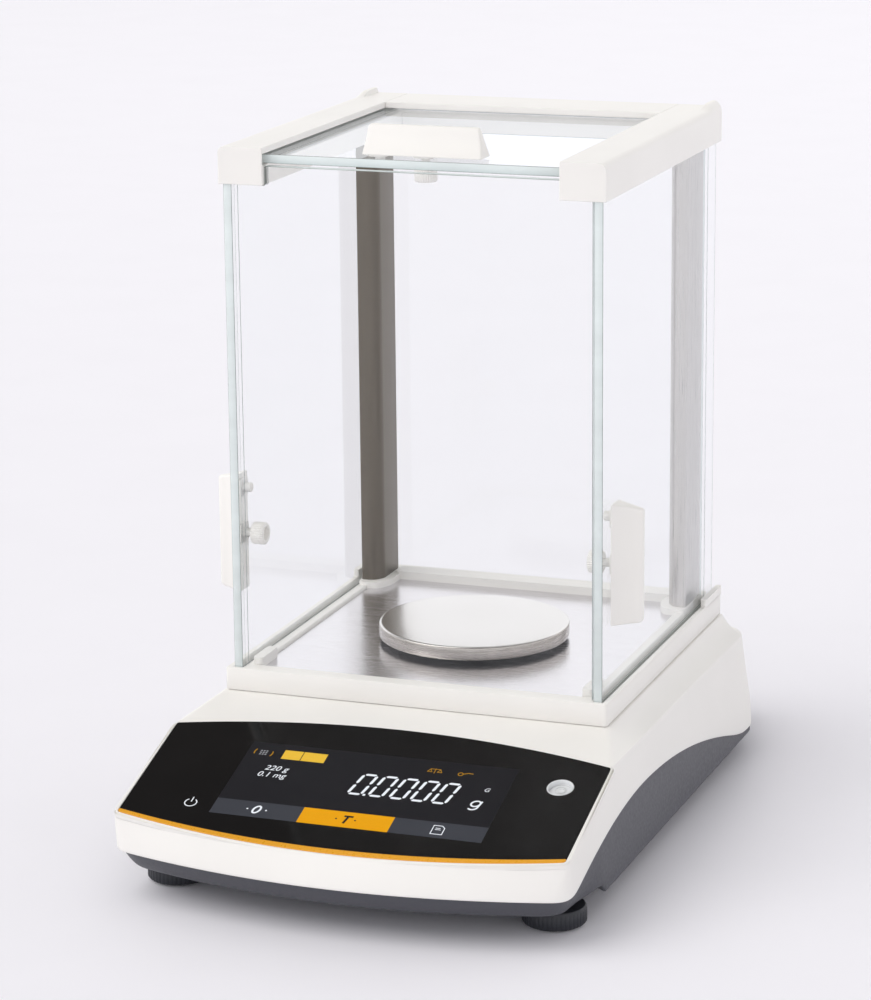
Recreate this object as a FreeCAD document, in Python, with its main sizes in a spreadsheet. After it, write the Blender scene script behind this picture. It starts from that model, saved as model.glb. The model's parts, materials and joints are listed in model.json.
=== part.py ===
"""Analytical balance with a glass draft shield.

The row frame has its origin under the middle of the balance, at bench level.
+X points to the user's right, +Y to the back and +Z up. All sizes are in millimetres.
"""
import FreeCAD, Part
import os
import re
import Sketcher

# Driving dimensions. Every one of them becomes an aliased cell of the sheet.
SIZES = {
    # casing: outlines at several levels, bowed in front, with a lower and narrowing box at the back
    "casing_wall": 2.5,
    "seam": 0.4,
    "base_level": 8.0,
    "floor_wall": 3.0,
    "toe_level": 13.0,
    "toe_back": -111.0,
    "skirt_level": 12.0,
    "skirt_front_half": 105.6,
    "skirt_back_half": 108.0,
    "lip_level": 22.3,
    "lip_front": -180.0,
    "lip_corner": -163.0,
    "lip_half": 106.0,
    "brow_level": 38.0,
    "brow_front": -174.6,
    "brow_corner": -162.2,
    "brow_half": 105.2,
    "crease_level": 60.9,
    "crease_front_half": 103.9,
    "crease_back_half": 102.0,
    "neck_level": 64.4,
    "neck_half": 96.2,
    "deck_level": 68.5,
    "deck_half": 92.4,
    "shoulder_back": 126.5,
    "box_back": 180.0,
    "box_taper": 22.0,
    "box_level": 60.0,
    "tail_level": 41.0,
    "arch_level": 39.8,
    "arch_crown": -55.0,
    "arch_front": -153.6,
    "arch_front_level": 24.0,
    "arch_back": 108.4,
    "arch_mid_bow": 6.6,
    "arch_front_bow": 3.4,
    # display: a black glass on the sloping front, measured up the slope from its lower corners
    "slope_front": -159.6,
    "slope_level": 41.0,
    "slope_angle": 17.1,
    "slope_rise": 0.3077,
    "glass_half": 103.0,
    "glass_run": 66.8,
    "glass_top_bow": 11.9,
    "glass_low_bow": 11.5,
    "glass_thick": 3.0,
    "stripe_drop": 2.6,
    "stripe_bow": 12.4,
    "stripe_thick": 2.0,
    "fit_gap": 0.1,
    "cutter_lift": 4.0,
    "screen_left": -64.0,
    "screen_right": 66.0,
    "screen_low": 2.0,
    "screen_high": 60.0,
    "screen_thick": 5.0,
    "board_thick": 1.6,
    "level_x": 85.2,
    "level_run": 49.0,
    "level_radius": 6.05,
    "level_deep": 5.0,
    "cup_radius": 8.0,
    "cup_deep": 8.0,
    # draft shield plinth
    "plinth_half": 91.7,
    "plinth_front": -65.2,
    "plinth_back": 126.5,
    "plinth_top": 79.0,
    "plinth_dip": 75.2,
    "dip_front": -41.0,
    "dip_back": 92.0,
    "plinth_corner": 3.0,
    "well_half": 76.0,
    "well_front": -55.5,
    "well_back": 108.0,
    "floor_level": 76.5,
    "floor_thick": 1.0,
    "void_level": 74.0,
    "rear_rim_level": 81.5,
    # glass panes and the slots that hold them
    "pane": 4.0,
    "pane_gap": 0.4,
    "side_pane_inner": 84.4,
    "side_pane_front": -62.0,
    "side_pane_back": 120.0,
    "side_pane_low": 75.8,
    "side_pane_high": 305.0,
    "front_pane_front": -61.0,
    "front_pane_half": 83.6,
    "front_pane_low": 76.4,
    "front_pane_high": 311.6,
    "front_pane_neck": 68.7,
    "top_pane_half": 73.0,
    "top_pane_front": -58.0,
    "top_pane_back": 120.0,
    "top_pane_low": 312.5,
    "rear_pane_front": 115.3,
    "rear_pane_half": 83.4,
    # rails along the top of the shield
    "rail_inner": 69.0,
    "rail_outer": 90.2,
    "rail_front": -62.2,
    "rail_back": 123.4,
    "rail_cap": 1.2,
    "rail_low": 303.1,
    "rail_high": 320.0,
    "rail_round": 3.0,
    "rail_lug": 2.4,
    "lug_front": 104.0,
    "bar_high": 311.8,
    # fasteners of the frame
    "screw_radius": 1.5,
    "screw_head": 2.8,
    "screw_x": 80.6,
    # rear posts
    "post_outer": 83.8,
    "post_front": 89.0,
    "post_back": 115.0,
    "post_front_inner": 78.3,
    "post_back_inner": 73.7,
    "collar_grow": 3.0,
    "collar_level": 82.0,
    # door handles and their thumb screws
    "handle_long": 56.0,
    "handle_level": 139.0,
    "handle_shift": 2.1,
    "handle_front": 6.0,
    "handle_rear": 6.4,
    "handle_ridge": 3.1,
    "handle_rise": 13.6,
    "handle_bevel": 1.6,
    "screw_y": -46.5,
    "knob_radius": 5.0,
    "knob_long": 6.5,
    "shank_radius": 1.95,
    "shank_in_handle": 5.0,
    "thread_clearance": 0.05,
    "pane_hole": 2.3,
    "pin_offset": 21.4,
    "pin_radius": 2.2,
    # weighing pan
    "pan_y": 19.6,
    "pan_radius": 45.0,
    "pan_top": 86.2,
    "pan_rim": 5.2,
    "pan_sheet": 1.0,
    "carrier_radius": 36.0,
    "carrier_top": 85.0,
    "carrier_thick": 2.0,
    "stem_radius": 5.0,
    "stem_low": 58.4,
    "pan_hole": 13.0,
    # weigh cell
    "chassis_level": 14.0,
    "chassis_thick": 5.0,
    "chassis_half": 78.0,
    "chassis_front": -62.0,
    "chassis_back": 118.0,
    "cell_half": 30.0,
    "cell_front": 42.0,
    "cell_back": 112.0,
    "cell_top": 47.0,
    "cell_wall": 8.0,
    "flexure": 1.0,
    "lever_low": 38.0,
    "lever_high": 43.0,
    "coil_y": 78.0,
    "coil_outer": 12.0,
    "coil_inner": 9.0,
    "magnet_radius": 17.0,
    "magnet_top": 36.5,
    # levelling feet
    "foot_x": 88.3,
    "foot_y": -130.4,
    "foot_radius": 14.1,
    "foot_top": 9.0,
    "pad_radius": 9.5,
    "pad_thick": 3.0,
    "pad_proud": 0.8,
    "stud_radius": 3.95,
    "stud_top": 30.0,
    "bush_radius": 7.0,
    "bush_top": 27.0,
    "rear_foot_x": 68.0,
    "rear_foot_y": 150.0,
    "rear_foot_radius": 10.0,
    # electronics in the box at the back
    "board_level": 28.8,
    "board_half": 74.0,
    "board_front": 132.0,
    "board_back": 174.0,
}
SIDES = {"left": "-1", "right": "1"}
AXES = {
    "X": FreeCAD.Rotation(FreeCAD.Vector(0, 1, 0), 90),
    "Y": FreeCAD.Rotation(FreeCAD.Vector(1, 0, 0), -90),
    "Z": FreeCAD.Rotation(),
}
THROUGH = "400"

doc = FreeCAD.newDocument("analytical_balance")
sheet = doc.addObject("Spreadsheet::Sheet", "Dims")
for row, (alias, size) in enumerate(SIZES.items(), start=1):
    sheet.set(f"A{row}", alias.replace("_", " "))
    sheet.set(f"B{row}", str(size))
    sheet.setAlias(f"B{row}", alias)
doc.recompute()
parts = {}


# ---------------------------------------------------------------- formulas and sketches
def with_sheet(formula):
    """The formula with each alias written as a reference to its cell."""
    return re.sub(r"[a-z]\w*", lambda word: ("Dims." if word[0] in SIZES else "") + word[0], formula)


def value(formula):
    return float(doc.Dims.evalExpression(with_sheet(formula)))


def bind(thing, target, formula):
    thing.setExpression(target, with_sheet(formula))


def new_body(name):
    return doc.addObject("PartDesign::Body", name)


def new_sketch(body, plane, name, lift="0", tilt=None):
    """An empty sketch on one of the body's origin planes, lifted along the plane's normal.

    With tilt it lies on the display slope instead: its origin is at the lower corners' line.
    """
    sketch = body.newObject("Sketcher::SketchObject", name)
    support = next(face for face in body.Origin.OriginFeatures if face.Role == plane + "_Plane")
    sketch.AttachmentSupport = [(support, "")]
    sketch.MapMode = "FlatFace"
    if tilt:
        turn = FreeCAD.Rotation(FreeCAD.Vector(1, 0, 0), value(tilt))
        sketch.AttachmentOffset = FreeCAD.Placement(FreeCAD.Vector(), turn)
        bind(sketch, "AttachmentOffset.Rotation.Angle", tilt)
        bind(sketch, "AttachmentOffset.Base.y", f"slope_front - ({lift}) * sin({tilt} * 1deg)")
        bind(sketch, "AttachmentOffset.Base.z", f"slope_level + ({lift}) * cos({tilt} * 1deg)")
    else:
        bind(sketch, "AttachmentOffset.Base.z", lift)
    return sketch


def pin_point(sketch, edge, end, corner):
    for kind, formula in zip(("DistanceX", "DistanceY"), corner):
        index = sketch.addConstraint(Sketcher.Constraint(kind, edge, end, value(formula)))
        bind(sketch, f"Constraints[{index}]", formula)


def draw(sketch, corners):
    """A closed outline. A third entry in a corner bows the edge that leaves it, to its right."""
    points = [FreeCAD.Vector(value(corner[0]), value(corner[1]), 0) for corner in corners]
    edges = []
    for here, corner in enumerate(corners):
        there = (here + 1) % len(corners)
        start, end = points[here], points[there]
        if len(corner) == 3:
            run = end - start
            middle = (start + end) / 2 + FreeCAD.Vector(run.y, -run.x, 0).normalize() * value(corner[2])
            edge = sketch.addGeometry(Part.Arc(start, middle, end))
        else:
            edge = sketch.addGeometry(Part.LineSegment(start, end))
        gaps = [(sketch.getPoint(edge, end_number) - start).Length for end_number in (1, 2)]
        first = 1 if gaps[0] < gaps[1] else 2
        edges.append((edge, first, 3 - first))
    for here, corner in enumerate(corners):
        edge, first, last = edges[here]
        there = (here + 1) % len(corners)
        following = edges[there]
        sketch.addConstraint(Sketcher.Constraint("Coincident", edge, last, following[0], following[1]))
        pin_point(sketch, edge, first, corner[:2])
        if len(corner) == 3:
            run_x = f"(({corners[there][0]}) - ({corner[0]}))"
            run_y = f"(({corners[there][1]}) - ({corner[1]}))"
            radius = f"({run_x}^2 + {run_y}^2 + 4 * ({corner[2]})^2) / (8 * abs({corner[2]}))"
            index = sketch.addConstraint(Sketcher.Constraint("Radius", edge, value(radius)))
            bind(sketch, f"Constraints[{index}]", radius)
    return sketch


def draw_circle(sketch, centre, radius):
    circle = sketch.addGeometry(Part.Circle(
        FreeCAD.Vector(value(centre[0]), value(centre[1]), 0), FreeCAD.Vector(0, 0, 1), value(radius)))
    pin_point(sketch, circle, 3, centre)
    index = sketch.addConstraint(Sketcher.Constraint("Radius", circle, value(radius)))
    bind(sketch, f"Constraints[{index}]", radius)
    return sketch


def draw_box(sketch, low, high):
    return draw(sketch, [low, (high[0], low[1]), high, (low[0], high[1])])


def mirrored(corners):
    """The whole outline of a shape symmetric about x = 0, from its right half, front first."""
    left = [(f"-({x})", y) for x, y in reversed(corners)]
    return left[-1:] + corners + left[:-1]


def pad(body, sketch, depth, reverse=False, both=False, kind="Pad"):
    feature = body.newObject("PartDesign::" + kind, sketch.Name + "_" + kind.lower())
    feature.Profile = sketch
    feature.SideType = "Symmetric" if both else "One side"
    feature.Reversed = reverse
    bind(feature, "Length", depth)
    sketch.Visibility = False
    doc.recompute()
    return feature


def pocket(body, sketch, depth, reverse=False, both=False):
    """Cuts the sketch into the body and makes sure that something was cut away."""
    before = body.Tip.Shape.Volume
    feature = pad(body, sketch, depth, reverse, both, kind="Pocket")
    if feature.Shape.Volume > before - 1e-6:
        raise RuntimeError(f"{feature.Name} cuts nothing")
    return feature


# ---------------------------------------------------------------- primitives and booleans
def place(thing, base, turn=FreeCAD.Rotation()):
    thing.Placement = FreeCAD.Placement(FreeCAD.Vector(), turn)
    for axis, formula in zip("xyz", base):
        bind(thing, "Placement.Base." + axis, formula)
    return thing


def box(name, low, high):
    block = place(doc.addObject("Part::Box", name), low)
    for side, start, end in zip(("Length", "Width", "Height"), low, high):
        bind(block, side, f"({end}) - ({start})")
    return block


def slab(name, half, low, high):
    """A block symmetric about x = 0: its half width, then its low and high (y, z) corners."""
    return box(name, (f"-({half})", *low), (half, *high))


def rod(name, radius, long, base, axis="Z"):
    bar = place(doc.addObject("Part::Cylinder", name), base, AXES[axis])
    bind(bar, "Radius", radius)
    bind(bar, "Height", long)
    return bar


def on_slope(thing):
    """Moves a piece drawn in slope coordinates (x, up the slope, out of the glass) to the slope."""
    turn = FreeCAD.Rotation(FreeCAD.Vector(1, 0, 0), value("slope_angle"))
    holder = doc.addObject("Part::Compound", thing.Name + "_sloped")
    holder.Links = [thing]
    holder.Placement = FreeCAD.Placement(FreeCAD.Vector(), turn)
    bind(holder, "Placement.Rotation.Angle", "slope_angle")
    bind(holder, "Placement.Base.y", "slope_front")
    bind(holder, "Placement.Base.z", "slope_level")
    return holder


def cut(name, base, *tools):
    result = doc.addObject("Part::Cut", name)
    result.Base = base
    result.Tool = tools[0] if len(tools) == 1 else fuse(name + "_tools", *tools)
    return result


def fuse(name, *pieces):
    result = doc.addObject("Part::MultiFuse", name)
    result.Shapes = list(pieces)
    return result


def group(name, pieces):
    """Identical pieces that share one node, each still a solid of its own."""
    result = doc.addObject("Part::Compound", name)
    result.Links = list(pieces)
    return result


def part(name, thing):
    """Labels a finished sub-part, which also names its file."""
    thing.Label = name
    parts[name] = thing
    return thing


# ---------------------------------------------------------------- casing
def casing_section(body, name, level, half_front, half_back, front, corner, inset):
    """The casing's plan outline at one level: bowed front, straight sides, narrowing box."""
    right = [
        (f"{half_front} - {inset}", f"{corner} + {inset}"),
        (f"{half_back} - {inset}", f"shoulder_back - {inset}"),
        (f"{half_back} - box_taper - {inset}", f"box_back - {inset}"),
    ]
    outline = mirrored(right)
    outline[0] = (*outline[0], f"({corner}) - ({front})")
    return draw(new_sketch(body, "XY", name, lift=level), outline)


SECTIONS = [
    ("base", "base_level", "skirt_front_half", "skirt_back_half", "lip_front + 2", "lip_corner + 1.5"),
    ("lip", "lip_level", "lip_half", "skirt_back_half - 0.3", "lip_front", "lip_corner"),
    ("brow", "brow_level", "brow_half", "brow_half", "brow_front", "brow_corner"),
    ("crease", "crease_level", "crease_front_half", "crease_back_half", "brow_front", "brow_corner"),
    ("neck", "neck_level", "neck_half", "neck_half", "brow_front", "brow_corner"),
    ("deck", "deck_level", "deck_half", "deck_half", "brow_front", "brow_corner"),
]


def casing_loft(name, sections, inset="0", drop="0"):
    """A body lofted through the plan outlines; inset and drop make it the shell's inside."""
    body = new_body(name)
    sketches = [
        casing_section(body, f"{name}_{label}", f"{level} - {drop}", *sizes, inset)
        for label, level, *sizes in sections
    ]
    doc.recompute()
    loft = body.newObject("PartDesign::AdditiveLoft", name + "_loft")
    loft.Profile = sketches[0]
    loft.Sections = [(sketch, [""]) for sketch in sketches[1:]]
    loft.Ruled = True
    doc.recompute()
    return body


def arch(drop):
    """Lower edge of the white casing: level lip, then an arch over the sides, then level again."""
    return [
        ("lip_front - 20", f"lip_level - {drop}"),
        ("arch_front", f"arch_front_level - {drop}", "-arch_front_bow"),
        ("arch_crown", f"arch_level - {drop}", "-arch_mid_bow"),
        ("arch_back", f"skirt_level - {drop}"),
        ("box_back + 20", f"skirt_level - {drop}"),
    ]


def roof(drop, slope_drop):
    """Top line of the casing from front to back: display slope, deck, box at the back."""
    rise = f"slope_level - slope_front * slope_rise - {slope_drop}"
    return [
        ("lip_front - 20", f"{rise} + (lip_front - 20) * slope_rise"),
        ("plinth_front - 19.2", f"{rise} + (plinth_front - 19.2) * slope_rise"),
        ("plinth_front", f"deck_level - {drop}"),
        (f"shoulder_back - {drop}", f"deck_level - {drop}"),
        (f"shoulder_back + 4 - {drop}", f"box_level - {drop}"),
        ("box_back + 20", f"tail_level - {drop}"),
    ]


def cut_roof(body, drop, slope_drop):
    top = [("box_back + 20", "deck_level + 20"), ("lip_front - 20", "deck_level + 20")]
    sketch = draw(new_sketch(body, "YZ", body.Name + "_roof"), roof(drop, slope_drop) + top)
    pocket(body, sketch, THROUGH, both=True)


def display_outline(sketch, grow):
    """Straight sides, with the top and bottom edges bowed like the casing's front."""
    half = f"glass_half + {grow}"
    return draw(sketch, [
        (f"-({half})", f"-({grow})", "glass_low_bow"),
        (half, f"-({grow})"),
        (half, f"glass_run + {grow}", "glass_top_bow"),
        (f"-({half})", f"glass_run + {grow}"),
    ])


def stripe_outline(sketch):
    """The band between the glass's lower edge and the brow of the casing."""
    return draw(sketch, [
        ("-glass_half", "-stripe_drop", "stripe_bow"),
        ("glass_half", "-stripe_drop"),
        ("glass_half", "-fit_gap", "-glass_low_bow"),
        ("-glass_half", "-fit_gap"),
    ])


SOCKETS = {
    # name: left, right, low, high of the opening in the back wall
    "power_socket": ("-70", "-58", "30", "42"),
    "usb_socket": ("-30", "-17", "30", "41"),
    "serial_socket": ("12", "51", "30", "43"),
}


def upper_casing():
    shell = casing_loft("upper_shell", SECTIONS)
    cut_roof(shell, "0", "0")
    below = [("box_back + 20", "0"), ("lip_front - 20", "0")]
    pocket(shell, draw(new_sketch(shell, "YZ", "arch_edge"), arch("0") + below), THROUGH, both=True)
    seat = display_outline(new_sketch(shell, "XY", "display_seat", "cutter_lift", "slope_angle"), "fit_gap")
    pocket(shell, seat, "cutter_lift + glass_thick + fit_gap")
    stripe_seat = stripe_outline(new_sketch(shell, "XY", "stripe_seat", "cutter_lift", "slope_angle"))
    pocket(shell, stripe_seat, "cutter_lift + stripe_thick")

    core = casing_loft("casing_core", SECTIONS, inset="casing_wall", drop="2")
    cut_roof(core, "casing_wall", "glass_thick + casing_wall")
    window = on_slope(box("screen_window", ("screen_left - 1", "screen_low - 1", "-14"),
                          ("screen_right + 1", "screen_high + 1", "2")))
    level_hole = on_slope(rod("level_hole", "cup_radius + fit_gap", "16", ("level_x", "level_run", "-14")))
    shaft_hole = rod("casing_shaft_hole", "pan_hole", "30", ("0", "pan_y", "50"))
    openings = [
        box(name + "_hole", (left, "box_back - 10", low), (right, "box_back + 5", high))
        for name, (left, right, low, high) in SOCKETS.items()
    ]
    hollow = cut("upper_shell_hollow", shell, core, window, level_hole, shaft_hole, *openings)
    plinth_bores = [
        rod(f"deck_bore_{n}", "screw_radius + fit_gap", "20", (x, y, "deck_level - 10"))
        for n, (x, y) in enumerate(PLINTH_SCREWS)
    ]
    bosses = [rod(f"boss_{n}", "4.5", "deck_level - 17.6", (x, y, "16")) for n, (x, y) in enumerate(SCREWS)]
    bores = [rod(f"boss_bore_{n}", "1.6", "18", (x, y, "15")) for n, (x, y) in enumerate(SCREWS)]
    bossed = fuse("bossed_shell", hollow, *bosses)
    part("upper_casing", cut("bored_upper_casing", bossed, *bores, *plinth_bores))


SCREWS = [(f"{sign} * 88", y) for sign in SIDES.values() for y in ("-48", "104")]
PLINTH_SCREWS = [(f"{sign} * 78", y) for sign in SIDES.values() for y in ("-40", "80")]
POST_SCREWS = ("post_front + 7", "post_back - 6")


def lower_casing():
    body = casing_loft("lower_shell", SECTIONS[:3])
    above = [("box_back + 20", "brow_level + 20"), ("lip_front - 20", "brow_level + 20")]
    pocket(body, draw(new_sketch(body, "YZ", "lower_arch"), arch("seam") + above), THROUGH, both=True)
    step = draw(new_sketch(body, "YZ", "toe_step"), [
        ("lip_front - 20", "0"), ("toe_back", "0"), ("toe_back - 5", "toe_level"),
        ("lip_front - 20", "toe_level"),
    ])
    pocket(body, step, THROUGH, both=True)
    inner = "skirt_front_half - casing_wall - 0.6"
    well = new_sketch(body, "XY", "lower_well", lift="base_level + floor_wall")
    draw(well, mirrored([
        (inner, "toe_back + 3"), (inner, "shoulder_back - casing_wall"),
        (f"{inner} - box_taper", "box_back - casing_wall"),
    ]))
    pocket(body, well, THROUGH, reverse=True)
    toe_well = new_sketch(body, "XY", "lower_toe_well", lift="toe_level + floor_wall")
    outline = mirrored([(inner, "lip_corner + 4"), (inner, "toe_back + 4")])
    outline[0] = (*outline[0], "14")
    pocket(body, draw(toe_well, outline), THROUGH, reverse=True)
    holes = [
        rod(f"{side}_bush_hole", "bush_radius", "30", (f"{sign} * foot_x", "foot_y", "0"))
        for side, sign in SIDES.items()
    ]
    for n, (x, y) in enumerate(SCREWS):
        holes.append(rod(f"floor_screw_hole_{n}", "1.6", "20", (x, y, "0")))
        holes.append(rod(f"floor_screw_seat_{n}", "3.2", "2", (x, y, "base_level - 0.6")))
    part("lower_casing", cut("lower_casing", body, *holes))
    screws = [
        fuse(f"casing_screw_{n}",
             rod(f"casing_screw_head_{n}", "3", "1.3", (x, y, "base_level")),
             rod(f"casing_screw_shank_{n}", "1.5", "20", (x, y, "base_level + 1")))
        for n, (x, y) in enumerate(SCREWS)
    ]
    part("casing_screws", group("casing_screws", screws))


def display():
    glass = new_body("display_glass")
    pad(glass, display_outline(new_sketch(glass, "XY", "glass_outline", tilt="slope_angle"), "0"),
        "glass_thick", reverse=True)
    part("display_glass", glass)
    stripe = new_body("accent_stripe")
    pad(stripe, stripe_outline(new_sketch(stripe, "XY", "stripe_outline", tilt="slope_angle")),
        "stripe_thick", reverse=True)
    part("accent_stripe", stripe)
    under = "-glass_thick - fit_gap"
    module = box("display_module_block", ("screen_left", "screen_low", f"{under} - screen_thick"),
                 ("screen_right", "screen_high", under))
    part("display_module", on_slope(module))
    board = box("display_board_block", ("-76", "screen_low", f"{under} - screen_thick - 2 - board_thick"),
                ("76", "screen_high", f"{under} - screen_thick - 2"))
    part("display_board", on_slope(board))
    cup = rod("level_cup_block", "cup_radius", "cup_deep", ("level_x", "level_run", f"{under} - cup_deep"))
    bore = rod("level_cup_bore", "level_radius", "cup_deep",
               ("level_x", "level_run", f"{under} - level_deep"))
    part("level_cup", on_slope(cut("level_cup_ring", cup, bore)))
    vial = rod("level_vial_disc", "level_radius - 0.05", "level_deep - 0.1",
               ("level_x", "level_run", f"{under} - level_deep"))
    part("level_vial", on_slope(vial))


# ---------------------------------------------------------------- draft shield
def post_corners(sign, grow="0"):
    """Plan of a rear post: flat outside, and an inner face that widens towards the back."""
    return [
        (f"{sign} * (post_outer + min({grow}; 0.2))", f"post_front - {grow}"),
        (f"{sign} * (post_outer + min({grow}; 0.2))", "post_back"),
        (f"{sign} * (post_back_inner - {grow})", "post_back"),
        (f"{sign} * (post_front_inner - {grow} * 1.6)", f"post_front - {grow}"),
    ]


def shield_plinth():
    body = new_body("shield_plinth")
    pad(body, draw_box(new_sketch(body, "XY", "plinth_outline", lift="deck_level"),
                       ("-plinth_half", "plinth_front"), ("plinth_half", "plinth_back")),
        "plinth_top - deck_level")
    block = body.Tip
    upright = [
        f"Edge{n}" for n, edge in enumerate(block.Shape.Edges, start=1)
        if abs(edge.Vertexes[0].Z - edge.Vertexes[1].Z) > 1
    ]
    rounding = body.newObject("PartDesign::Fillet", "plinth_corners")
    rounding.Base = (block, upright)
    bind(rounding, "Radius", "plinth_corner")
    doc.recompute()
    under = draw_box(new_sketch(body, "XY", "plinth_void", lift="deck_level"), ("-66", "-46"), ("66", "84"))
    pocket(body, under, "void_level - deck_level", reverse=True)
    well = draw_box(new_sketch(body, "XY", "plinth_well", lift="plinth_top"),
                    ("-well_half", "well_front"), ("well_half", "well_back"))
    pocket(body, well, "plinth_top - floor_level")
    hole = new_sketch(body, "XY", "plinth_hole", lift="plinth_top")
    pocket(body, draw_circle(hole, ("0", "pan_y"), "pan_hole"), "20")
    slot_low = "side_pane_inner - pane_gap"
    slot_high = "side_pane_inner + pane + pane_gap"
    for side, sign in SIDES.items():
        slot = draw_box(new_sketch(body, "XY", side + "_slot", lift="plinth_top"),
                        (f"{sign} * ({slot_low})", "side_pane_front - 0.6"),
                        (f"{sign} * ({slot_high})", "plinth_back + 1"))
        pocket(body, slot, "plinth_top - side_pane_low + pane_gap")
        dip = draw_box(new_sketch(body, "YZ", side + "_dip", lift=f"{sign} * ({slot_high} - 0.05)"),
                       ("dip_front", "plinth_dip"), ("dip_back", "plinth_top + 1"))
        pocket(body, dip, "10", reverse=side == "right")
        step = new_sketch(body, "XY", side + "_collar", lift="floor_level")
        pad(body, draw(step, post_corners(sign, "collar_grow")), "plinth_top - floor_level")
        ring = new_sketch(body, "XY", side + "_collar_ring", lift="plinth_top")
        draw(ring, post_corners(sign, "collar_grow"))
        draw(ring, post_corners(sign))
        pad(body, ring, "collar_level - plinth_top")
        guide = draw_box(new_sketch(body, "XY", side + "_guide", lift="plinth_top"),
                         (f"{sign} * well_half", "well_front"), (f"{sign} * ({slot_low})", "-26"))
        pad(body, guide, "4")
    front_slot = draw_box(new_sketch(body, "XY", "front_slot", lift="plinth_top"),
                          ("-side_pane_inner", "front_pane_front - 0.2"),
                          ("side_pane_inner", "front_pane_front + pane + 0.2"))
    pocket(body, front_slot, "plinth_top - front_pane_low")
    rim = draw_box(new_sketch(body, "XY", "rear_rim", lift="plinth_top"),
                   ("-68", "well_back"), ("68", "post_back"))
    pad(body, rim, "rear_rim_level - plinth_top")
    bores = [
        rod(f"plinth_bore_{n}", "screw_radius + fit_gap", "7", (x, y, "deck_level - 1"))
        for n, (x, y) in enumerate(PLINTH_SCREWS)
    ]
    part("shield_plinth", cut("bored_plinth", body, *bores))
    screws = [
        fuse(f"plinth_screw_{n}",
             rod(f"plinth_screw_shank_{n}", "screw_radius", "8", (x, y, "deck_level - 3.5")),
             rod(f"plinth_screw_head_{n}", "screw_head", "1.5", (x, y, "deck_level - casing_wall - 1.5")))
        for n, (x, y) in enumerate(PLINTH_SCREWS)
    ]
    part("plinth_screws", group("plinth_screws", screws))

    floor = new_body("floor_plate")
    edge = "well_half - 0.3"
    notch = "post_back_inner - 5.4"
    plan = new_sketch(floor, "XY", "floor_outline", lift="floor_level")
    draw(plan, mirrored([
        (edge, "well_front + 0.3"), (edge, "post_front - 3.4"), (notch, "post_front - 3.4"),
        (notch, "well_back - 0.3"),
    ]))
    draw_circle(plan, ("0", "pan_y"), "pan_hole")
    pad(floor, plan, "floor_thick")
    part("floor_plate", floor)


def shield_frame():
    screws = []
    for side, sign in SIDES.items():
        places = [(f"{sign} * screw_x", y) for y in POST_SCREWS]
        bores = [
            rod(f"{side}_frame_bore_{n}", "screw_radius + fit_gap", "24", (*spot, "rail_low - 12"))
            for n, spot in enumerate(places)
        ]
        screws += [
            rod(f"{side}_frame_screw_{n}", "screw_radius", "19", (*spot, "rail_low - 11"))
            for n, spot in enumerate(places)
        ]
        post = new_body(side + "_post")
        pad(post, draw(new_sketch(post, "XY", side + "_post_plan", lift="plinth_top"), post_corners(sign)),
            "rail_low - plinth_top")
        part("post_" + side, cut(side + "_bored_post", post, *bores[:2]))

        rail = new_body(side + "_rail")
        slot_low, slot_high = "side_pane_inner - pane_gap", "side_pane_inner + pane + pane_gap"
        top_low, top_high = "top_pane_low - pane_gap", "top_pane_low + pane + pane_gap"
        bow = f"{sign} * rail_round * 0.2929"
        section = [
            ("rail_inner", "rail_low"), (slot_low, "rail_low"), (slot_low, "side_pane_high + 1.5"),
            (slot_high, "side_pane_high + 1.5"), (slot_high, "rail_low"), ("rail_outer", "rail_low"),
            ("rail_outer", "rail_high - rail_round", bow), ("rail_outer - rail_round", "rail_high"),
            ("rail_inner + 2", "rail_high"), ("rail_inner", "rail_high - 2"), ("rail_inner", top_high),
            ("top_pane_half + 0.5", top_high), ("top_pane_half + 0.5", top_low), ("rail_inner", top_low),
        ]
        profile = new_sketch(rail, "XZ", side + "_rail_section", lift="-rail_front")
        draw(profile, [(f"{sign} * ({corner[0]})", *corner[1:]) for corner in section])
        pad(rail, profile, "rail_back - rail_front", reverse=True)
        closed = [section[n] for n in (0, 5, 6, 7)] + [("rail_inner", "rail_high")]
        cap = new_sketch(rail, "XZ", side + "_rail_cap", lift="-rail_front")
        draw(cap, [(f"{sign} * ({corner[0]})", *corner[1:]) for corner in closed])
        pad(rail, cap, "rail_cap")
        lug = draw_box(new_sketch(rail, "XY", side + "_rail_lug", lift="rail_high"),
                       (f"{sign} * (rail_inner + 6)", "lug_front"),
                       (f"{sign} * (rail_outer - 4)", "rail_back"))
        pad(rail, lug, "rail_lug")
        part("rail_" + side, cut(side + "_bored_rail", rail, *bores))
    part("frame_screws", group("frame_screws", screws))
    part("rear_crossbar", slab("rear_crossbar", "rail_inner", ("post_back", "rail_low"),
                               ("rail_back", "bar_high")))

    front = new_body("front_pane")
    outline = new_sketch(front, "XZ", "front_pane_outline", lift="-front_pane_front")
    draw(outline, mirrored([
        ("front_pane_half", "front_pane_low"), ("front_pane_half", "rail_low - 0.1"),
        ("front_pane_neck", "rail_low - 0.1"), ("front_pane_neck", "front_pane_high"),
    ]))
    pad(front, outline, "pane", reverse=True)
    part("front_pane", front)
    part("rear_pane", slab("rear_pane", "rear_pane_half", ("rear_pane_front", "plinth_top"),
                           ("rear_pane_front + pane", "rail_low")))


# ---------------------------------------------------------------- sliding doors
DOORS = {
    # door: directions of the handle's length and height, its base on the glass, side of its pin
    "left": ((0, 0, -1), (-1, 0, 0), ("-side_pane_inner - pane", "screw_y", "handle_level"), "-1"),
    "right": ((0, 0, 1), (1, 0, 0), ("side_pane_inner + pane", "screw_y", "handle_level"), "1"),
    "top": ((-1, 0, 0), (0, 0, 1), ("handle_shift", "screw_y", "top_pane_low + pane"), "1"),
}


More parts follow.
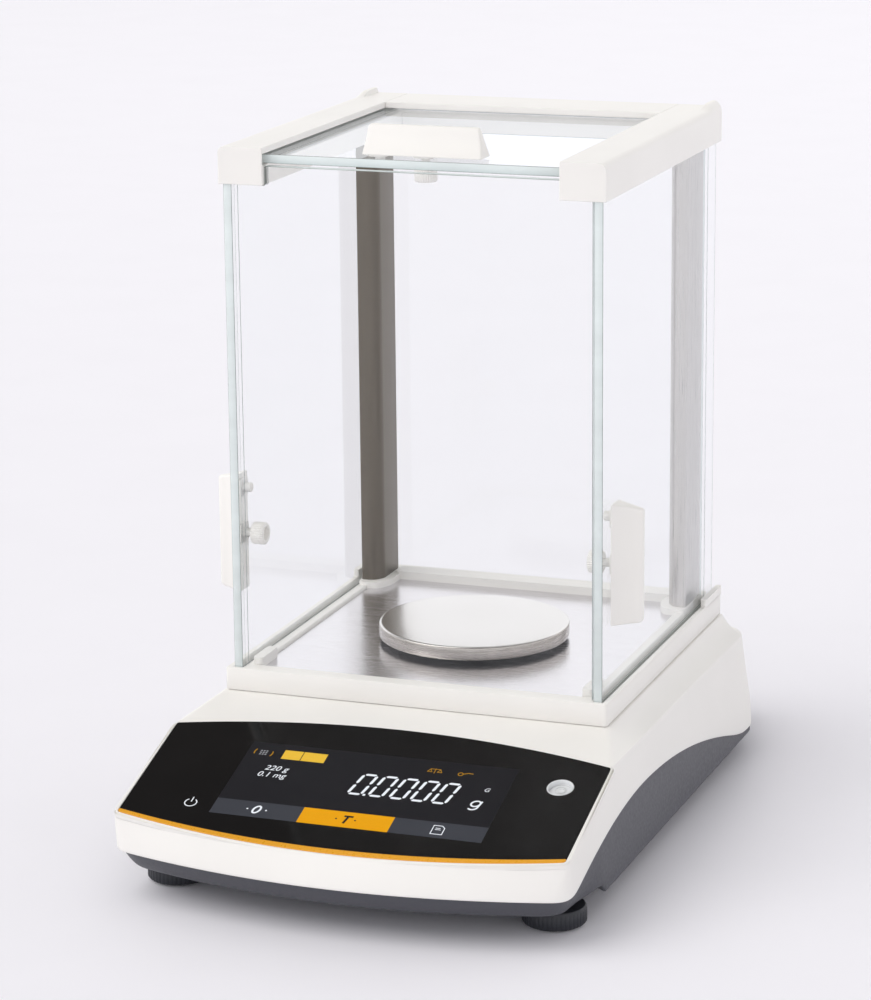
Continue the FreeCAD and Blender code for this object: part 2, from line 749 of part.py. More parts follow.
def on_door(door, thing):
    """Places a piece drawn about the thumb screw (length, out of the glass, depth) on its door."""
    along, out, base, _ = DOORS[door]
    along, out = FreeCAD.Vector(*along), FreeCAD.Vector(*out)
    return place(thing, base, FreeCAD.Rotation(along, out, along.cross(out), "XYZ"))


def door(name, glass):
    """A pane with two holes, the grip wedge outside it with its locating pin, and its thumb screw."""
    pin_at = f"{DOORS[name][3]} * pin_offset"
    holes = fuse(name + "_pane_holes",
                 rod(name + "_screw_hole", "pane_hole", "12", ("0", "-8", "0"), "Y"),
                 rod(name + "_pin_hole", "pin_radius + fit_gap", "12", (pin_at, "-8", "0"), "Y"))
    part(name + "_pane", cut(name + "_drilled_pane", glass, on_door(name, holes)))

    grip = doc.addObject("Part::Wedge", name + "_grip")
    sizes = {
        "Xmin": "-handle_long / 2", "Xmax": "handle_long / 2", "Ymin": "0", "Ymax": "handle_rise",
        "Zmin": "-handle_front", "Zmax": "handle_rear",
        "X2min": "-handle_long / 2 + handle_bevel", "X2max": "handle_long / 2 - handle_bevel",
        "Z2min": "handle_ridge - 1", "Z2max": "handle_ridge + 1",
    }
    for edge, formula in sizes.items():
        bind(grip, edge, formula)
    pin = rod(name + "_pin", "pin_radius", "pane + 1", (pin_at, "-pane", "0"), "Y")
    bore = rod(name + "_grip_bore", "shank_radius + thread_clearance", "shank_in_handle + 1",
               ("0", "-0.5", "0"), "Y")
    handle = cut(name + "_bored_grip", fuse(name + "_grip_and_pin", grip, pin), bore)
    part(name + "_handle", on_door(name, handle))

    knob = rod(name + "_knob", "knob_radius", "knob_long", ("0", "-pane - 0.3 - knob_long", "0"), "Y")
    shank = rod(name + "_shank", "shank_radius", "pane + 1.3 + shank_in_handle",
                ("0", "-pane - 1.3", "0"), "Y")
    part(name + "_thumb_screw", on_door(name, fuse(name + "_screw", knob, shank)))


def doors():
    for side, sign in SIDES.items():
        edges = sorted((f"{sign} * side_pane_inner", f"{sign} * (side_pane_inner + pane)"), key=value)
        door(side, box(side + "_glass", (edges[0], "side_pane_front", "side_pane_low"),
                       (edges[1], "side_pane_back", "side_pane_high")))
    door("top", slab("top_glass", "top_pane_half", ("top_pane_front", "top_pane_low"),
                     ("top_pane_back", "top_pane_low + pane")))


# ---------------------------------------------------------------- pan and weigh cell
def pan():
    disc = rod("pan_disc", "pan_radius", "pan_rim", ("0", "pan_y", "pan_top - pan_rim"))
    inside = rod("pan_inside", "pan_radius - pan_sheet", "pan_rim",
                 ("0", "pan_y", "pan_top - pan_rim - pan_sheet"))
    part("pan", cut("pan", disc, inside))
    disc = rod("carrier_disc", "carrier_radius", "carrier_thick",
               ("0", "pan_y", "carrier_top - carrier_thick"))
    stem = rod("carrier_stem", "stem_radius", "carrier_top - 1 - stem_low", ("0", "pan_y", "stem_low"))
    part("pan_support", fuse("pan_support", disc, stem))


def weigh_cell():
    chassis = slab("chassis_block", "chassis_half", ("chassis_front", "chassis_level"),
                   ("chassis_back", "chassis_level + chassis_thick"))
    part("chassis_plate", chassis)
    mounts = [
        rod(f"chassis_mount_{n}", "6", "chassis_level - base_level - floor_wall",
            (f"{sign} * 66", y, "base_level + floor_wall"))
        for n, (sign, y) in enumerate((sign, y) for sign in SIDES.values() for y in ("-50", "106"))
    ]
    part("chassis_mounts", group("chassis_mounts", mounts))

    low = "chassis_level + chassis_thick"
    block = slab("cell_block", "cell_half", ("cell_front", low), ("cell_back", "cell_top"))
    hollow = slab("cell_hollow", "cell_half - cell_wall", ("cell_front - 1", "lever_low - 16.5"),
                  ("cell_back - cell_wall", "cell_top + 1"))
    part("cell_frame", cut("cell_frame", block, hollow))
    part("cell_carrier", slab("cell_carrier", "14", ("pan_y - 12", "lever_low - 14.5"),
                              ("pan_y + 12", "cell_top")))
    cone = doc.addObject("Part::Cone", "cell_pin")
    place(cone, ("0", "pan_y", "cell_top + flexure"))
    bind(cone, "Radius1", "7")
    bind(cone, "Radius2", "4")
    bind(cone, "Height", "stem_low - cell_top - flexure - 0.2")
    part("cell_pin", cone)
    part("upper_flexure", slab("upper_flexure", "28", ("pan_y - 12", "cell_top"),
                               ("cell_back", "cell_top + flexure")))
    part("lower_flexure", slab("lower_flexure", "12", ("pan_y - 12", "lever_low - 15.5"),
                               ("coil_y - magnet_radius - 1", "lever_low - 14.5")))
    part("cell_lever", slab("cell_lever", "6", ("pan_y + 12", "lever_low"), ("coil_y + 14", "lever_high")))
    ring = rod("coil_ring", "coil_outer", "9", ("0", "coil_y", "lever_low - 9"))
    hole = rod("coil_hole", "coil_inner", "11", ("0", "coil_y", "lever_low - 10"))
    part("force_coil", cut("force_coil", ring, hole))
    cup = rod("magnet_block", "magnet_radius", "magnet_top - lever_low + 16.5",
              ("0", "coil_y", "lever_low - 16.5"))
    gap = cut("magnet_gap",
              rod("magnet_gap_outer", "coil_outer + 1", "20", ("0", "coil_y", "lever_low - 11")),
              rod("magnet_gap_inner", "coil_inner - 1", "22", ("0", "coil_y", "lever_low - 12")))
    part("magnet_cup", cut("magnet_cup", cup, gap))
    part("position_sensor", box("position_sensor", ("-10", "coil_y + magnet_radius + 1", "lever_low - 5"),
                                ("10", "cell_back - cell_wall", "lever_high")))

    weights = [
        rod(f"calibration_weight_{n}", "8", "22", (x, "-22", f"{low} + 18"), "X")
        for n, x in enumerate(("-40", "18"))
    ]
    part("calibration_weights", group("calibration_weights", weights))
    part("weight_lifter", slab("weight_lifter", "44", ("-30", f"{low} + 4"), ("-14", f"{low} + 9.8")))
    part("lift_motor", rod("lift_motor", "9", "30", ("50", "-22", f"{low} + 9.4"), "X"))


def electronics():
    part("main_board", slab("main_board", "board_half", ("board_front", "board_level"),
                            ("board_back", "board_level + board_thick")))
    top = "board_level + board_thick"
    sizes = [  # left, front, width, depth and height of each tall component
        ("-8", "140", "16", "16", "2"), ("20", "138", "10", "10", "1.6"),
        ("-50", "138", "22", "18", "16"), ("44", "138", "8", "14", "4"),
    ]
    components = [
        box(f"board_component_{n}", (x, y, top), (f"{x} + {wide}", f"{y} + {deep}", f"{top} + {tall}"))
        for n, (x, y, wide, deep, tall) in enumerate(sizes)
    ]
    part("board_components", group("board_components", components))
    floor = "base_level + floor_wall"
    posts = [
        rod(f"board_post_{n}", "4", f"board_level - ({floor})", (f"{sign} * (board_half - 6)", y, floor))
        for n, (sign, y) in enumerate((sign, y) for sign in SIDES.values() for y in ("137", "168"))
    ]
    part("board_posts", group("board_posts", posts))
    for name, (left, right, low, high) in SOCKETS.items():
        shell = box(name + "_shell", (f"{left} + 0.4", "box_back - 19", top),
                    (f"{right} - 0.4", "box_back - 0.6", f"{high} - 0.4"))
        if name == "power_socket":
            bore = rod(name + "_bore", "3.2", "12", ("-64", "box_back - 10", "36.2"), "Y")
        else:
            bore = box(name + "_bore", (f"{left} + 2.4", "box_back - 9", f"{low} + 2.4"),
                       (f"{right} - 2.4", "box_back + 2", f"{high} - 2.4"))
        part(name, cut(name, shell, bore))


# ---------------------------------------------------------------- feet
def feet():
    for side, sign in SIDES.items():
        x = f"{sign} * foot_x"
        disc = rod(side + "_foot_disc", "foot_radius", "foot_top - pad_proud", (x, "foot_y", "pad_proud"))
        seat = rod(side + "_foot_seat", "pad_radius", "pad_thick", (x, "foot_y", "0"))
        hole = rod(side + "_foot_hole", "stud_radius", "20", (x, "foot_y", "0"))
        part(f"front_{side}_foot", cut(f"front_{side}_foot", disc, seat, hole))
        part(f"front_{side}_stud", rod(f"front_{side}_stud", "stud_radius", "stud_top - pad_thick",
                                       (x, "foot_y", "pad_thick")))
        part(f"front_{side}_pad", rod(f"front_{side}_pad", "pad_radius", "pad_thick", (x, "foot_y", "0")))
    bushes = [
        cut(side + "_bush",
            rod(side + "_bush_sleeve", "bush_radius", "bush_top - toe_level",
                (f"{sign} * foot_x", "foot_y", "toe_level")),
            rod(side + "_bush_bore", "stud_radius + thread_clearance", "40",
                (f"{sign} * foot_x", "foot_y", "0")))
        for side, sign in SIDES.items()
    ]
    part("foot_bushes", group("foot_bushes", bushes))
    part("rear_feet", group("rear_feet", [
        rod(side + "_rear_foot", "rear_foot_radius", "base_level",
            (f"{sign} * rear_foot_x", "rear_foot_y", "0"))
        for side, sign in SIDES.items()
    ]))


def write_parts():
    """Checks every object and every sub-part, then writes one file per sub-part."""
    doc.recompute()
    for thing in doc.Objects:
        if {"Invalid", "Error"} & set(thing.State):
            raise RuntimeError(f"{thing.Name} failed: {thing.State}")
    for name, thing in parts.items():
        if thing.Shape.isNull() or not thing.Shape.isValid():
            raise RuntimeError(f"{name} has no valid shape")
    os.makedirs("parts", exist_ok=True)
    for name, thing in parts.items():
        thing.Shape.exportStep(os.path.join("parts", name + ".step"))
        print(f"{name}: {len(thing.Shape.Solids)} solid(s), {thing.Shape.Volume / 1000:.2f} cm3")


lower_casing()
upper_casing()
display()
shield_plinth()
shield_frame()
doors()
pan()
weigh_cell()
electronics()
feet()
write_parts()
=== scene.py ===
import json
import math

import bmesh
import bpy
from mathutils import Matrix, Vector

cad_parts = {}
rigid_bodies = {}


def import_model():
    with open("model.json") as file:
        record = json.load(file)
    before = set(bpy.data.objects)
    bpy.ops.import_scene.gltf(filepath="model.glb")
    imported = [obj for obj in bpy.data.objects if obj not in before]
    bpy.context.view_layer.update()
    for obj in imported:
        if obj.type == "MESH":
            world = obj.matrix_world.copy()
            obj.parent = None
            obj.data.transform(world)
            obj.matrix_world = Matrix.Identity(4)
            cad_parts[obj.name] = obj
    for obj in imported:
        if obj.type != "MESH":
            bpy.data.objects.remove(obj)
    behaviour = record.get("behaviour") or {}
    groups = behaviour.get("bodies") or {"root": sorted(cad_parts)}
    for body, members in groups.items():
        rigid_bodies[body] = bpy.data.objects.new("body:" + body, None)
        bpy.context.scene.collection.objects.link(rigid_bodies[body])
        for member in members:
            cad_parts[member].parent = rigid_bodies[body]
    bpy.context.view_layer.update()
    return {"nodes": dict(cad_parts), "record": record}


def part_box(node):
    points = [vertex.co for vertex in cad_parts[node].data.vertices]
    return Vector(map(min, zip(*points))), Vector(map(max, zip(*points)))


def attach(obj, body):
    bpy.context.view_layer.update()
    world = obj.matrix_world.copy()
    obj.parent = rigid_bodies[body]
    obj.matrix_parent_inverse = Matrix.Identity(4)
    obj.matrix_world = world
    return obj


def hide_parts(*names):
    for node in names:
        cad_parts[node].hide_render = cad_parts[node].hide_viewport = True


# Lengths below are in millimetres in the frame of the balance: +X right, +Y back, +Z up.
MM = 0.001

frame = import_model()
root = frame["record"]["behaviour"]["joints"][0]["parent"]


def node_box(name):
    low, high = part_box(name)
    return [v / MM for v in low], [v / MM for v in high]


def node_middle(name):
    low, high = node_box(name)
    return Vector([(a + b) / 2 for a, b in zip(low, high)])


def smoothstep(low, high, value):
    share = min(1.0, max(0.0, (value - low) / (high - low)))
    return share * share * (3 - 2 * share)


def mix(a, b, share):
    return a + (b - a) * share


# ---------------------------------------------------------------- materials
def linear(red, green, blue):
    """A colour read as 0-255 display values, as scene-linear numbers."""
    def channel(value):
        value /= 255
        return value / 12.92 if value <= 0.04045 else ((value + 0.055) / 1.055) ** 2.4
    return (channel(red), channel(green), channel(blue), 1.0)


class Nodes:
    """A material under construction: adds nodes and links them by socket name."""

    def __init__(self, name):
        self.material = bpy.data.materials.new(name)
        self.material.use_nodes = True
        self.tree = self.material.node_tree
        self.tree.nodes.clear()
        self.output = self.add("ShaderNodeOutputMaterial")

    def add(self, kind, **values):
        node = self.tree.nodes.new(kind)
        for key, value in values.items():
            setattr(node, key, value)
        return node

    def link(self, source, out, target, into):
        self.tree.links.new(source.outputs[out], target.inputs[into])

    def principled(self, colour, roughness, **sockets):
        shader = self.add("ShaderNodeBsdfPrincipled")
        shader.inputs["Base Color"].default_value = colour
        shader.inputs["Roughness"].default_value = roughness
        for name, value in sockets.items():
            shader.inputs[name.replace("_", " ")].default_value = value
        self.link(shader, "BSDF", self.output, "Surface")
        return shader

    def noise(self, scale, detail=3.0, stretch=(1, 1, 1)):
        """Noise on object coordinates; a stretch over 1 packs it more tightly along that axis."""
        place = self.add("ShaderNodeTexCoord")
        mapping = self.add("ShaderNodeMapping")
        mapping.inputs["Scale"].default_value = stretch
        self.link(place, "Object", mapping, "Vector")
        texture = self.add("ShaderNodeTexNoise")
        texture.inputs["Scale"].default_value = scale
        texture.inputs["Detail"].default_value = detail
        self.link(mapping, "Vector", texture, "Vector")
        return texture

    def ramp(self, texture, low, high, shader, *sockets):
        """Drives sockets with the texture's middle range, from one colour or grey to another."""
        ramp = self.add("ShaderNodeValToRGB")
        ramp.color_ramp.elements[0].position = 0.3
        ramp.color_ramp.elements[1].position = 0.7
        ramp.color_ramp.elements[0].color = low
        ramp.color_ramp.elements[1].color = high
        self.link(texture, "Fac", ramp, "Fac")
        for socket in sockets:
            self.link(ramp, "Color", shader, socket)

    def bump(self, texture, shader, strength, distance):
        bump = self.add("ShaderNodeBump")
        bump.inputs["Strength"].default_value = strength
        bump.inputs["Distance"].default_value = distance
        self.link(texture, 0, bump, "Height")
        self.link(bump, "Normal", shader, "Normal")

    def mixed(self, share, first, second):
        """The finished material: first where share is 0, second where it is 1."""
        both = self.add("ShaderNodeMixShader")
        self.link(share, "Value", both, 0)
        self.link(first, "BSDF", both, 1)
        self.link(second, "BSDF", both, 2)
        self.link(both, "Shader", self.output, "Surface")
        return self.material


def shade(colour, amount):
    return (*(min(1.0, channel * amount) for channel in colour[:3]), 1.0)


def grey(value):
    return (value, value, value, 1.0)


def moulded(name, rgb, roughness, grain=900, strength=0.12, spread=0.025, **sockets):
    """Moulded plastic or rubber: fine spark-eroded grain, a faint cloud of colour, varied gloss."""
    made, colour = Nodes(name), linear(*rgb)
    shader = made.principled(colour, roughness, **sockets)
    cloud = made.noise(14, 2)
    made.ramp(cloud, shade(colour, 1 - spread), shade(colour, 1 + spread), shader, "Base Color")
    fine = made.noise(grain, 2)
    made.ramp(fine, grey(roughness - 0.05), grey(roughness + 0.06), shader, "Roughness")
    made.bump(fine, shader, strength, 0.00008)
    return made.material


def brushed(name, rgb, roughness, stretch, scale=60, strength=0.12, spread=0.08):
    """Brushed metal: fine scratches, packed tightly across the brushing direction."""
    made, colour = Nodes(name), linear(*rgb)
    shader = made.principled(colour, roughness, Metallic=1.0)
    scratches = made.noise(scale, 4, stretch)
    made.ramp(scratches, shade(colour, 1 - spread), shade(colour, 1 + spread), shader, "Base Color")
    made.ramp(scratches, grey(roughness - 0.05), grey(roughness + 0.07), shader, "Roughness")
    made.bump(scratches, shader, strength, 0.00004)
    return made.material


def clear_glass():
    """A polished pane: it mirrors by its angle where light enters, and lets the rest straight through."""
    made = Nodes("pane_faces")
    through = made.add("ShaderNodeBsdfTransparent")
    through.inputs["Color"].default_value = (0.994, 0.996, 0.996, 1)
    mirror = made.add("ShaderNodeBsdfGlossy")
    mirror.inputs["Roughness"].default_value = 0.01
    mirror.inputs["Color"].default_value = (0.95, 0.98, 1.0, 1)
    angle = made.add("ShaderNodeFresnel")
    angle.inputs["IOR"].default_value = 1.5
    side = made.add("ShaderNodeNewGeometry")
    leaving = made.add("ShaderNodeMath", operation="SUBTRACT", use_clamp=True)
    made.link(angle, "Fac", leaving, 0)
    made.link(side, "Backfacing", leaving, 1)
    return made.mixed(leaving, through, mirror)


def glass_edge(name, rgb, low, high, glow, behind=1.0):
    """The ground edge of a pane: streaks of gathered light painted on as a glow, clear by the share
    behind from inside.
    """
    made, colour = Nodes(name), linear(*rgb)
    shader = made.principled(colour, 0.25, Emission_Strength=glow)
    streaks = made.noise(35, 5, (1, 1, 3))
    made.ramp(streaks, shade(colour, low), shade(colour, high), shader, "Base Color", "Emission Color")
    through = made.add("ShaderNodeBsdfTransparent")
    side = made.add("ShaderNodeNewGeometry")
    share = made.add("ShaderNodeMath", operation="MULTIPLY")
    share.inputs[1].default_value = behind
    made.link(side, "Backfacing", share, 0)
    return made.mixed(share, shader, through)


def lit(name, rgb, glow):
    """A lit display area that gives off part of its colour and reflects the rest, with faint pixels."""
    made, colour = Nodes(name), linear(*rgb)
    shader = made.principled(colour, 0.35, Emission_Strength=glow, Specular_IOR_Level=0.1)
    pixels = made.noise(2600, 1)
    made.ramp(pixels, shade(colour, 0.94), shade(colour, 1.06), shader, "Emission Color")
    made.ramp(pixels, shade(colour, 1 - glow), shade(colour, 1 - glow), shader, "Base Color")
    return made.material


MATERIALS = {
    "white": moulded("white_plastic", (240, 238, 234), 0.36),
    "slate": moulded("slate_plastic", (70, 71, 78), 0.42, 700, 0.12),
    "black_glass": moulded("black_glass", (17, 15, 15), 0.12, 60, 0.0, 0.1,
                           Specular_IOR_Level=0.1),
    "amber": moulded("amber_band", (230, 160, 4), 0.3),
    "foot": moulded("foot_plastic", (38, 40, 47), 0.5, 500, 0.3),
    "rubber": moulded("dark_rubber", (24, 24, 26), 0.8, 400, 0.4),
    "pan_steel": brushed("pan_steel", (218, 216, 214), 0.2, (1, 40, 1), 60, 0.1, 0.04),
    # painted shade: darker steel for the pan's underside and inner rim walls
    "pan_shade": brushed("pan_shade", (104, 102, 101), 0.3, (1, 1, 1), 60, 0.05, 0.04),
    "pan_rim": brushed("pan_rim", (178, 173, 168), 0.24, (1, 1, 40), 60, 0.1, 0.06),
    "floor_steel": brushed("floor_steel", (222, 220, 223), 0.23, (1, 120, 1), 60, 0.03, 0.02),
    "post_aluminium": brushed("post_aluminium", (200, 197, 194), 0.3, (70, 70, 1), 40, 0.06, 0.03),
    # painted reflection: the left post gets darker, warmer metal than the right one, standing in for the
    # dark surroundings it mirrors
    "post_painted_dark_reflection": brushed("post_painted_dark_reflection", (108, 101, 91), 0.34, (70, 70, 1), 40, 0.06, 0.05),
    "cast_aluminium": brushed("cast_aluminium", (176, 178, 180), 0.45, (1, 1, 1), 300, 0.3, 0.06),
    "machine_steel": brushed("machine_steel", (190, 190, 192), 0.25, (1, 1, 18), 120, 0.2, 0.06),
    "spring_metal": brushed("spring_metal", (190, 180, 160), 0.3, (1, 20, 1), 90),
    "brass": brushed("turned_brass", (205, 165, 95), 0.3, (18, 1, 1), 90),
    "copper": brushed("copper_winding", (200, 115, 70), 0.35, (1, 1, 60), 60, 0.4),
    "board": moulded("circuit_board", (30, 92, 58), 0.4, 500, 0.2, 0.15),
    "chip": moulded("chip_black", (30, 30, 33), 0.55, 800, 0.2),
    "screen": lit("screen_glass", (24, 23, 28), 0.5),
    "key_grey": lit("key_grey", (60, 62, 69), 0.5),
    "key_amber": lit("key_amber", (234, 163, 0), 0.5),
    "badge_amber": lit("badge_amber", (235, 190, 60), 0.5),
    "digit_white": lit("digit_white", (238, 242, 248), 0.8),
    "icon_amber": lit("icon_amber", (190, 140, 20), 0.5),
    "icon_grey": lit("icon_grey", (150, 152, 156), 0.4),
    "vial": moulded("vial_liquid", (226, 228, 230), 0.12, 60, 0.0, Coat_Weight=0.4),
    "vial_ring": moulded("vial_ring", (205, 207, 208), 0.3),
    "pane": clear_glass(),
    # painted light: the pane edges glow faintly, standing in for light the glass gathers and carries to
    # them
    "pane_edge": glass_edge("pane_edge", (214, 222, 222), 0.95, 1.04, 0.08),
    "pane_arris": glass_edge("pane_arris", (150, 157, 156), 0.8, 1.15, 0.0, 0.15),
}


# ---------------------------------------------------------------- mesh helpers
def bezier(a, b, c, share):
    """A point on the quadratic curve from a to c that leans towards b."""
    return a * (1 - share) ** 2 + b * (2 * share * (1 - share)) + c * share ** 2


def add_grid(bm, rows, closed=False):
    """Quads between rows of points; closed joins the end of each row to its start."""
    made = [[bm.verts.new(point) for point in row] for row in rows]
    for upper, lower in zip(made, made[1:]):
        count = len(upper)
        for i in range(count if closed else count - 1):
            j = (i + 1) % count
            bm.faces.new((upper[i], upper[j], lower[j], lower[i]))
    return made


def add_tube(bm, rows):
    """Quads round a row of rings, with both ends closed."""
    made = add_grid(bm, rows, closed=True)
    bm.faces.new(made[0])
    bm.faces.new(made[-1])


def mirror_over_middle(bm):
    """Adds the left half of a mesh that was built for the right half."""
    bmesh.ops.remove_doubles(bm, verts=bm.verts, dist=0.01)
    bmesh.ops.mirror(bm, geom=bm.verts[:] + bm.edges[:] + bm.faces[:], axis="X", merge_dist=0.01)


def add_object(name, mesh, materials, smooth=True):
    thing = bpy.data.objects.new(name, mesh)
    bpy.context.scene.collection.objects.link(thing)
    for material in materials:
        thing.data.materials.append(MATERIALS[material])
    if smooth:
        mesh.polygons.foreach_set("use_smooth", [True] * len(mesh.polygons))
    return thing


def from_bmesh(name, bm, materials, place=Matrix.Identity(4), smooth=True):
    """Turns a bmesh in millimetres into an object in metres, with its faces looking outwards."""
    bmesh.ops.remove_doubles(bm, verts=bm.verts, dist=0.002)
    bmesh.ops.dissolve_degenerate(bm, edges=bm.edges, dist=0.001)
    bm.transform(place)
    bmesh.ops.recalc_face_normals(bm, faces=bm.faces)
    bm.transform(Matrix.Scale(MM, 4))
    mesh = bpy.data.meshes.new(name)
    bm.to_mesh(mesh)
    bm.free()
    return add_object(name, mesh, materials, smooth)


def finish_piece(thing, body, replaced=()):
    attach(thing, body)
    if replaced:
        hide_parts(*replaced)
    return thing


def soften(thing, width, segments=2, angle=30):
    """Rounds a piece's sharp edges by width millimetres."""
    bevel = thing.modifiers.new("soft_edges", "BEVEL")
    bevel.width = width * MM
    bevel.segments = segments
    bevel.limit_method = "ANGLE"
    bevel.angle_limit = math.radians(angle)
    bevel.harden_normals = True


def sharpen(thing, angle):
    """Keeps edges that turn by more than an angle in degrees sharp in the shading."""
    thing.data.set_sharp_from_angle(angle=math.radians(angle))


def subdivide(thing):
    smooth = thing.modifiers.new("smooth", "SUBSURF")
    smooth.levels = 2
    smooth.render_levels = 2


def evaluated_mesh(thing):
    """A new mesh of the object as its modifiers or its curve settings make it."""
    bpy.context.view_layer.update()
    shown = thing.evaluated_get(bpy.context.evaluated_depsgraph_get())
    return bpy.data.meshes.new_from_object(shown)


def curve_mesh(curve):
    """A mesh of a curve or a text, with no material."""
    source = bpy.data.objects.new(curve.name, curve)
    bpy.context.scene.collection.objects.link(source)
    mesh = evaluated_mesh(source)
    bpy.data.objects.remove(source)
    mesh.materials.clear()
    return mesh


def plate_mesh(outlines, low, high, bevel):
    """A flat plate between two heights: the first outline less the others, its edges chamfered."""
    curve = bpy.data.curves.new("plate", "CURVE")
    curve.dimensions = "2D"
    curve.fill_mode = "BOTH"
    curve.extrude = (high - low) / 2 - bevel
    curve.bevel_depth = bevel
    curve.bevel_resolution = 0
    curve.offset = -bevel
    for points in outlines:
        spline = curve.splines.new("POLY")
        spline.points.add(len(points) - 1)
        for point, (x, y) in zip(spline.points, points):
            point.co = (x, y, 0, 1)
        spline.use_cyclic_u = True
    mesh = curve_mesh(curve)
    mesh.transform(Matrix.Translation((0, 0, (low + high) / 2)))
    return mesh


def plate(name, outlines, low, high, place, materials, bevel=0.3):
    """A plate object. With three materials they are its faces, its edges and its chamfers."""
    bm = bmesh.new()
    bm.from_mesh(plate_mesh(outlines, low, high, bevel))
    thing = from_bmesh(name, bm, materials, place, smooth=False)
    if len(materials) == 3:
        axis = place.to_3x3().col[2].normalized()
        for face in thing.data.polygons:
            facing = abs(face.normal.dot(axis))
            face.material_index = 0 if facing > 0.95 else 1 if facing < 0.3 else 2
    return thing


def circle(x, y, radius, count=32):
    turns = [2 * math.pi * i / count for i in range(count)]
    return [(x + radius * math.cos(a), y + radius * math.sin(a)) for a in turns]


def rounded(corners, radius, steps=4):
    """A polygon with its corners rounded; radius is one number, or one for each corner."""
    count = len(corners)
    radii = radius if isinstance(radius, (list, tuple)) else [radius] * count
    made = []
    for i, (corner, r) in enumerate(zip(corners, radii)):
        here = Vector(corner)
        if r == 0:
            made.append(tuple(here))
            continue
        before = here + (Vector(corners[i - 1]) - here).normalized() * r
        after = here + (Vector(corners[(i + 1) % count]) - here).normalized() * r
        made += [tuple(bezier(before, here, after, k / steps)) for k in range(steps + 1)]
    return made


def box_points(x0, x1, y0, y1):
    return [(x0, y0), (x1, y0), (x1, y1), (x0, y1)]


def standing(x_way, y_way, z_way, origin):
    """The placement whose axes point the given ways."""
    return Matrix.Translation(origin) @ Matrix((x_way, y_way, z_way)).transposed().to_4x4()


def along(direction, origin):
    """Puts a piece's own +Z along a direction, and its origin at a point."""
    turn = Vector(direction).to_track_quat("Z", "Y").to_matrix().to_4x4()
    return Matrix.Translation(origin) @ turn


def add_turned(bm, profile, count=64, wave=None):
    """A turned shape from (radius, height) points. wave(turn, k) scales the radius of point k."""
    turns = [2 * math.pi * i / count for i in range(count)]
    rows = []
    for k, (radius, height) in enumerate(profile):
        spans = [radius * (wave(a, k) if wave else 1) for a in turns]
        rows.append([Vector((r * math.cos(a), r * math.sin(a), height)) for a, r in zip(turns, spans)])
    made = add_grid(bm, rows, closed=True)
    for end, (radius, _) in ((made[0], profile[0]), (made[-1], profile[-1])):
        if radius:
            bm.faces.new(end)


def lathe(name, profile, place, materials, count=64, wave=None):
    bm = bmesh.new()
    add_turned(bm, profile, count, wave)
    return from_bmesh(name, bm, materials, place)


def prism(bm, points, low, high):
    """A straight prism on a flat polygon."""
    floor = [bm.verts.new((x, y, low)) for x, y in points]
    roof = [bm.verts.new((x, y, high)) for x, y in points]
    bm.faces.new(roof)
    bm.faces.new(list(reversed(floor)))
    for i, point in enumerate(floor):
        j = (i + 1) % len(floor)
        bm.faces.new((point, floor[j], roof[j], roof[i]))


def ribbon(bm, points, width, low, high, closed=False):
    """A flat line of some width along points, with mitred corners."""
    line = [Vector(p) for p in points]
    count = len(line)
    rows = []
    for i, here in enumerate(line):
        before = line[i - 1] if closed or i else here
        after = line[(i + 1) % count] if closed or i < count - 1 else here
        steps = [step.normalized() for step in (here - before, after - here) if step.length > 1e-6]
        way = sum(steps, Vector((0, 0))).normalized()
        side = Vector((-way.y, way.x)) * width / 2 / max(0.5, way.dot(steps[0]))
        left, right = here + side, here - side
        rows.append([Vector((*left, low)), Vector((*left, high)),
                     Vector((*right, high)), Vector((*right, low))])
    if closed:
        rows.append([point.copy() for point in rows[0]])
        add_grid(bm, rows, closed=True)
    else:
        add_tube(bm, rows)


# ---------------------------------------------------------------- casing
CASING_LOW, CASING_HIGH = node_box("upper_casing")
PLINTH_LOW, PLINTH_HIGH = node_box("shield_plinth")
HALF = CASING_HIGH[0]
FRONT = CASING_LOW[1]
BACK = CASING_HIGH[1]
SKIRT = CASING_LOW[2]
SHOULDER_BACK = PLINTH_HIGH[1]
DECK = PLINTH_LOW[2] - 0.2
DECK_HALF = PLINTH_HIGH[0] + 0.7
DECK_FRONT = PLINTH_LOW[1] - 0.4
LIP = SKIRT + 10.3
BOX_TOP = 60.0
TAIL_TOP = 46.5
EDGE_DROP = 1.2
TAPER = 22.0
# outline by level: half width in front, half width at the shoulder's back, front line, front corner
LEVELS = (8.0, LIP, 38.0, 60.9)
OUTLINES = (
    (HALF - 2.4, HALF, FRONT + 2.0, FRONT + 18.5),
    (HALF - 2.0, HALF - 0.3, FRONT, FRONT + 17.0),
    (HALF - 2.8, HALF - 2.8, FRONT + 5.4, FRONT + 17.8),
    (HALF - 4.1, HALF - 6.0, FRONT + 12.0, FRONT + 20.0),
)
# the display's plane: a run is measured up the slope from a line near its front
SLOPE_ANGLE = math.radians(17.1)
SLOPE_FRONT = FRONT + 20.4
SLOPE_LEVEL = 41.0
SLOPE = Matrix.Translation((0, SLOPE_FRONT, SLOPE_LEVEL)) @ Matrix.Rotation(SLOPE_ANGLE, 4, "X")
GLASS_HALF = 103.0
GLASS_RUN = 66.8
GLASS_TOP_BOW = 11.9
GLASS_LOW_BOW = 11.5
STRIPE_DROP = 2.6
STRIPE_BOW = 12.4
SEAT_GAP = 0.15
SEAT_DEEP = 2.4
EDGE = 0.8
ARCH_FRONT = -153.6
ARCH_CROWN = -55.0
ARCH_BACK = 108.4


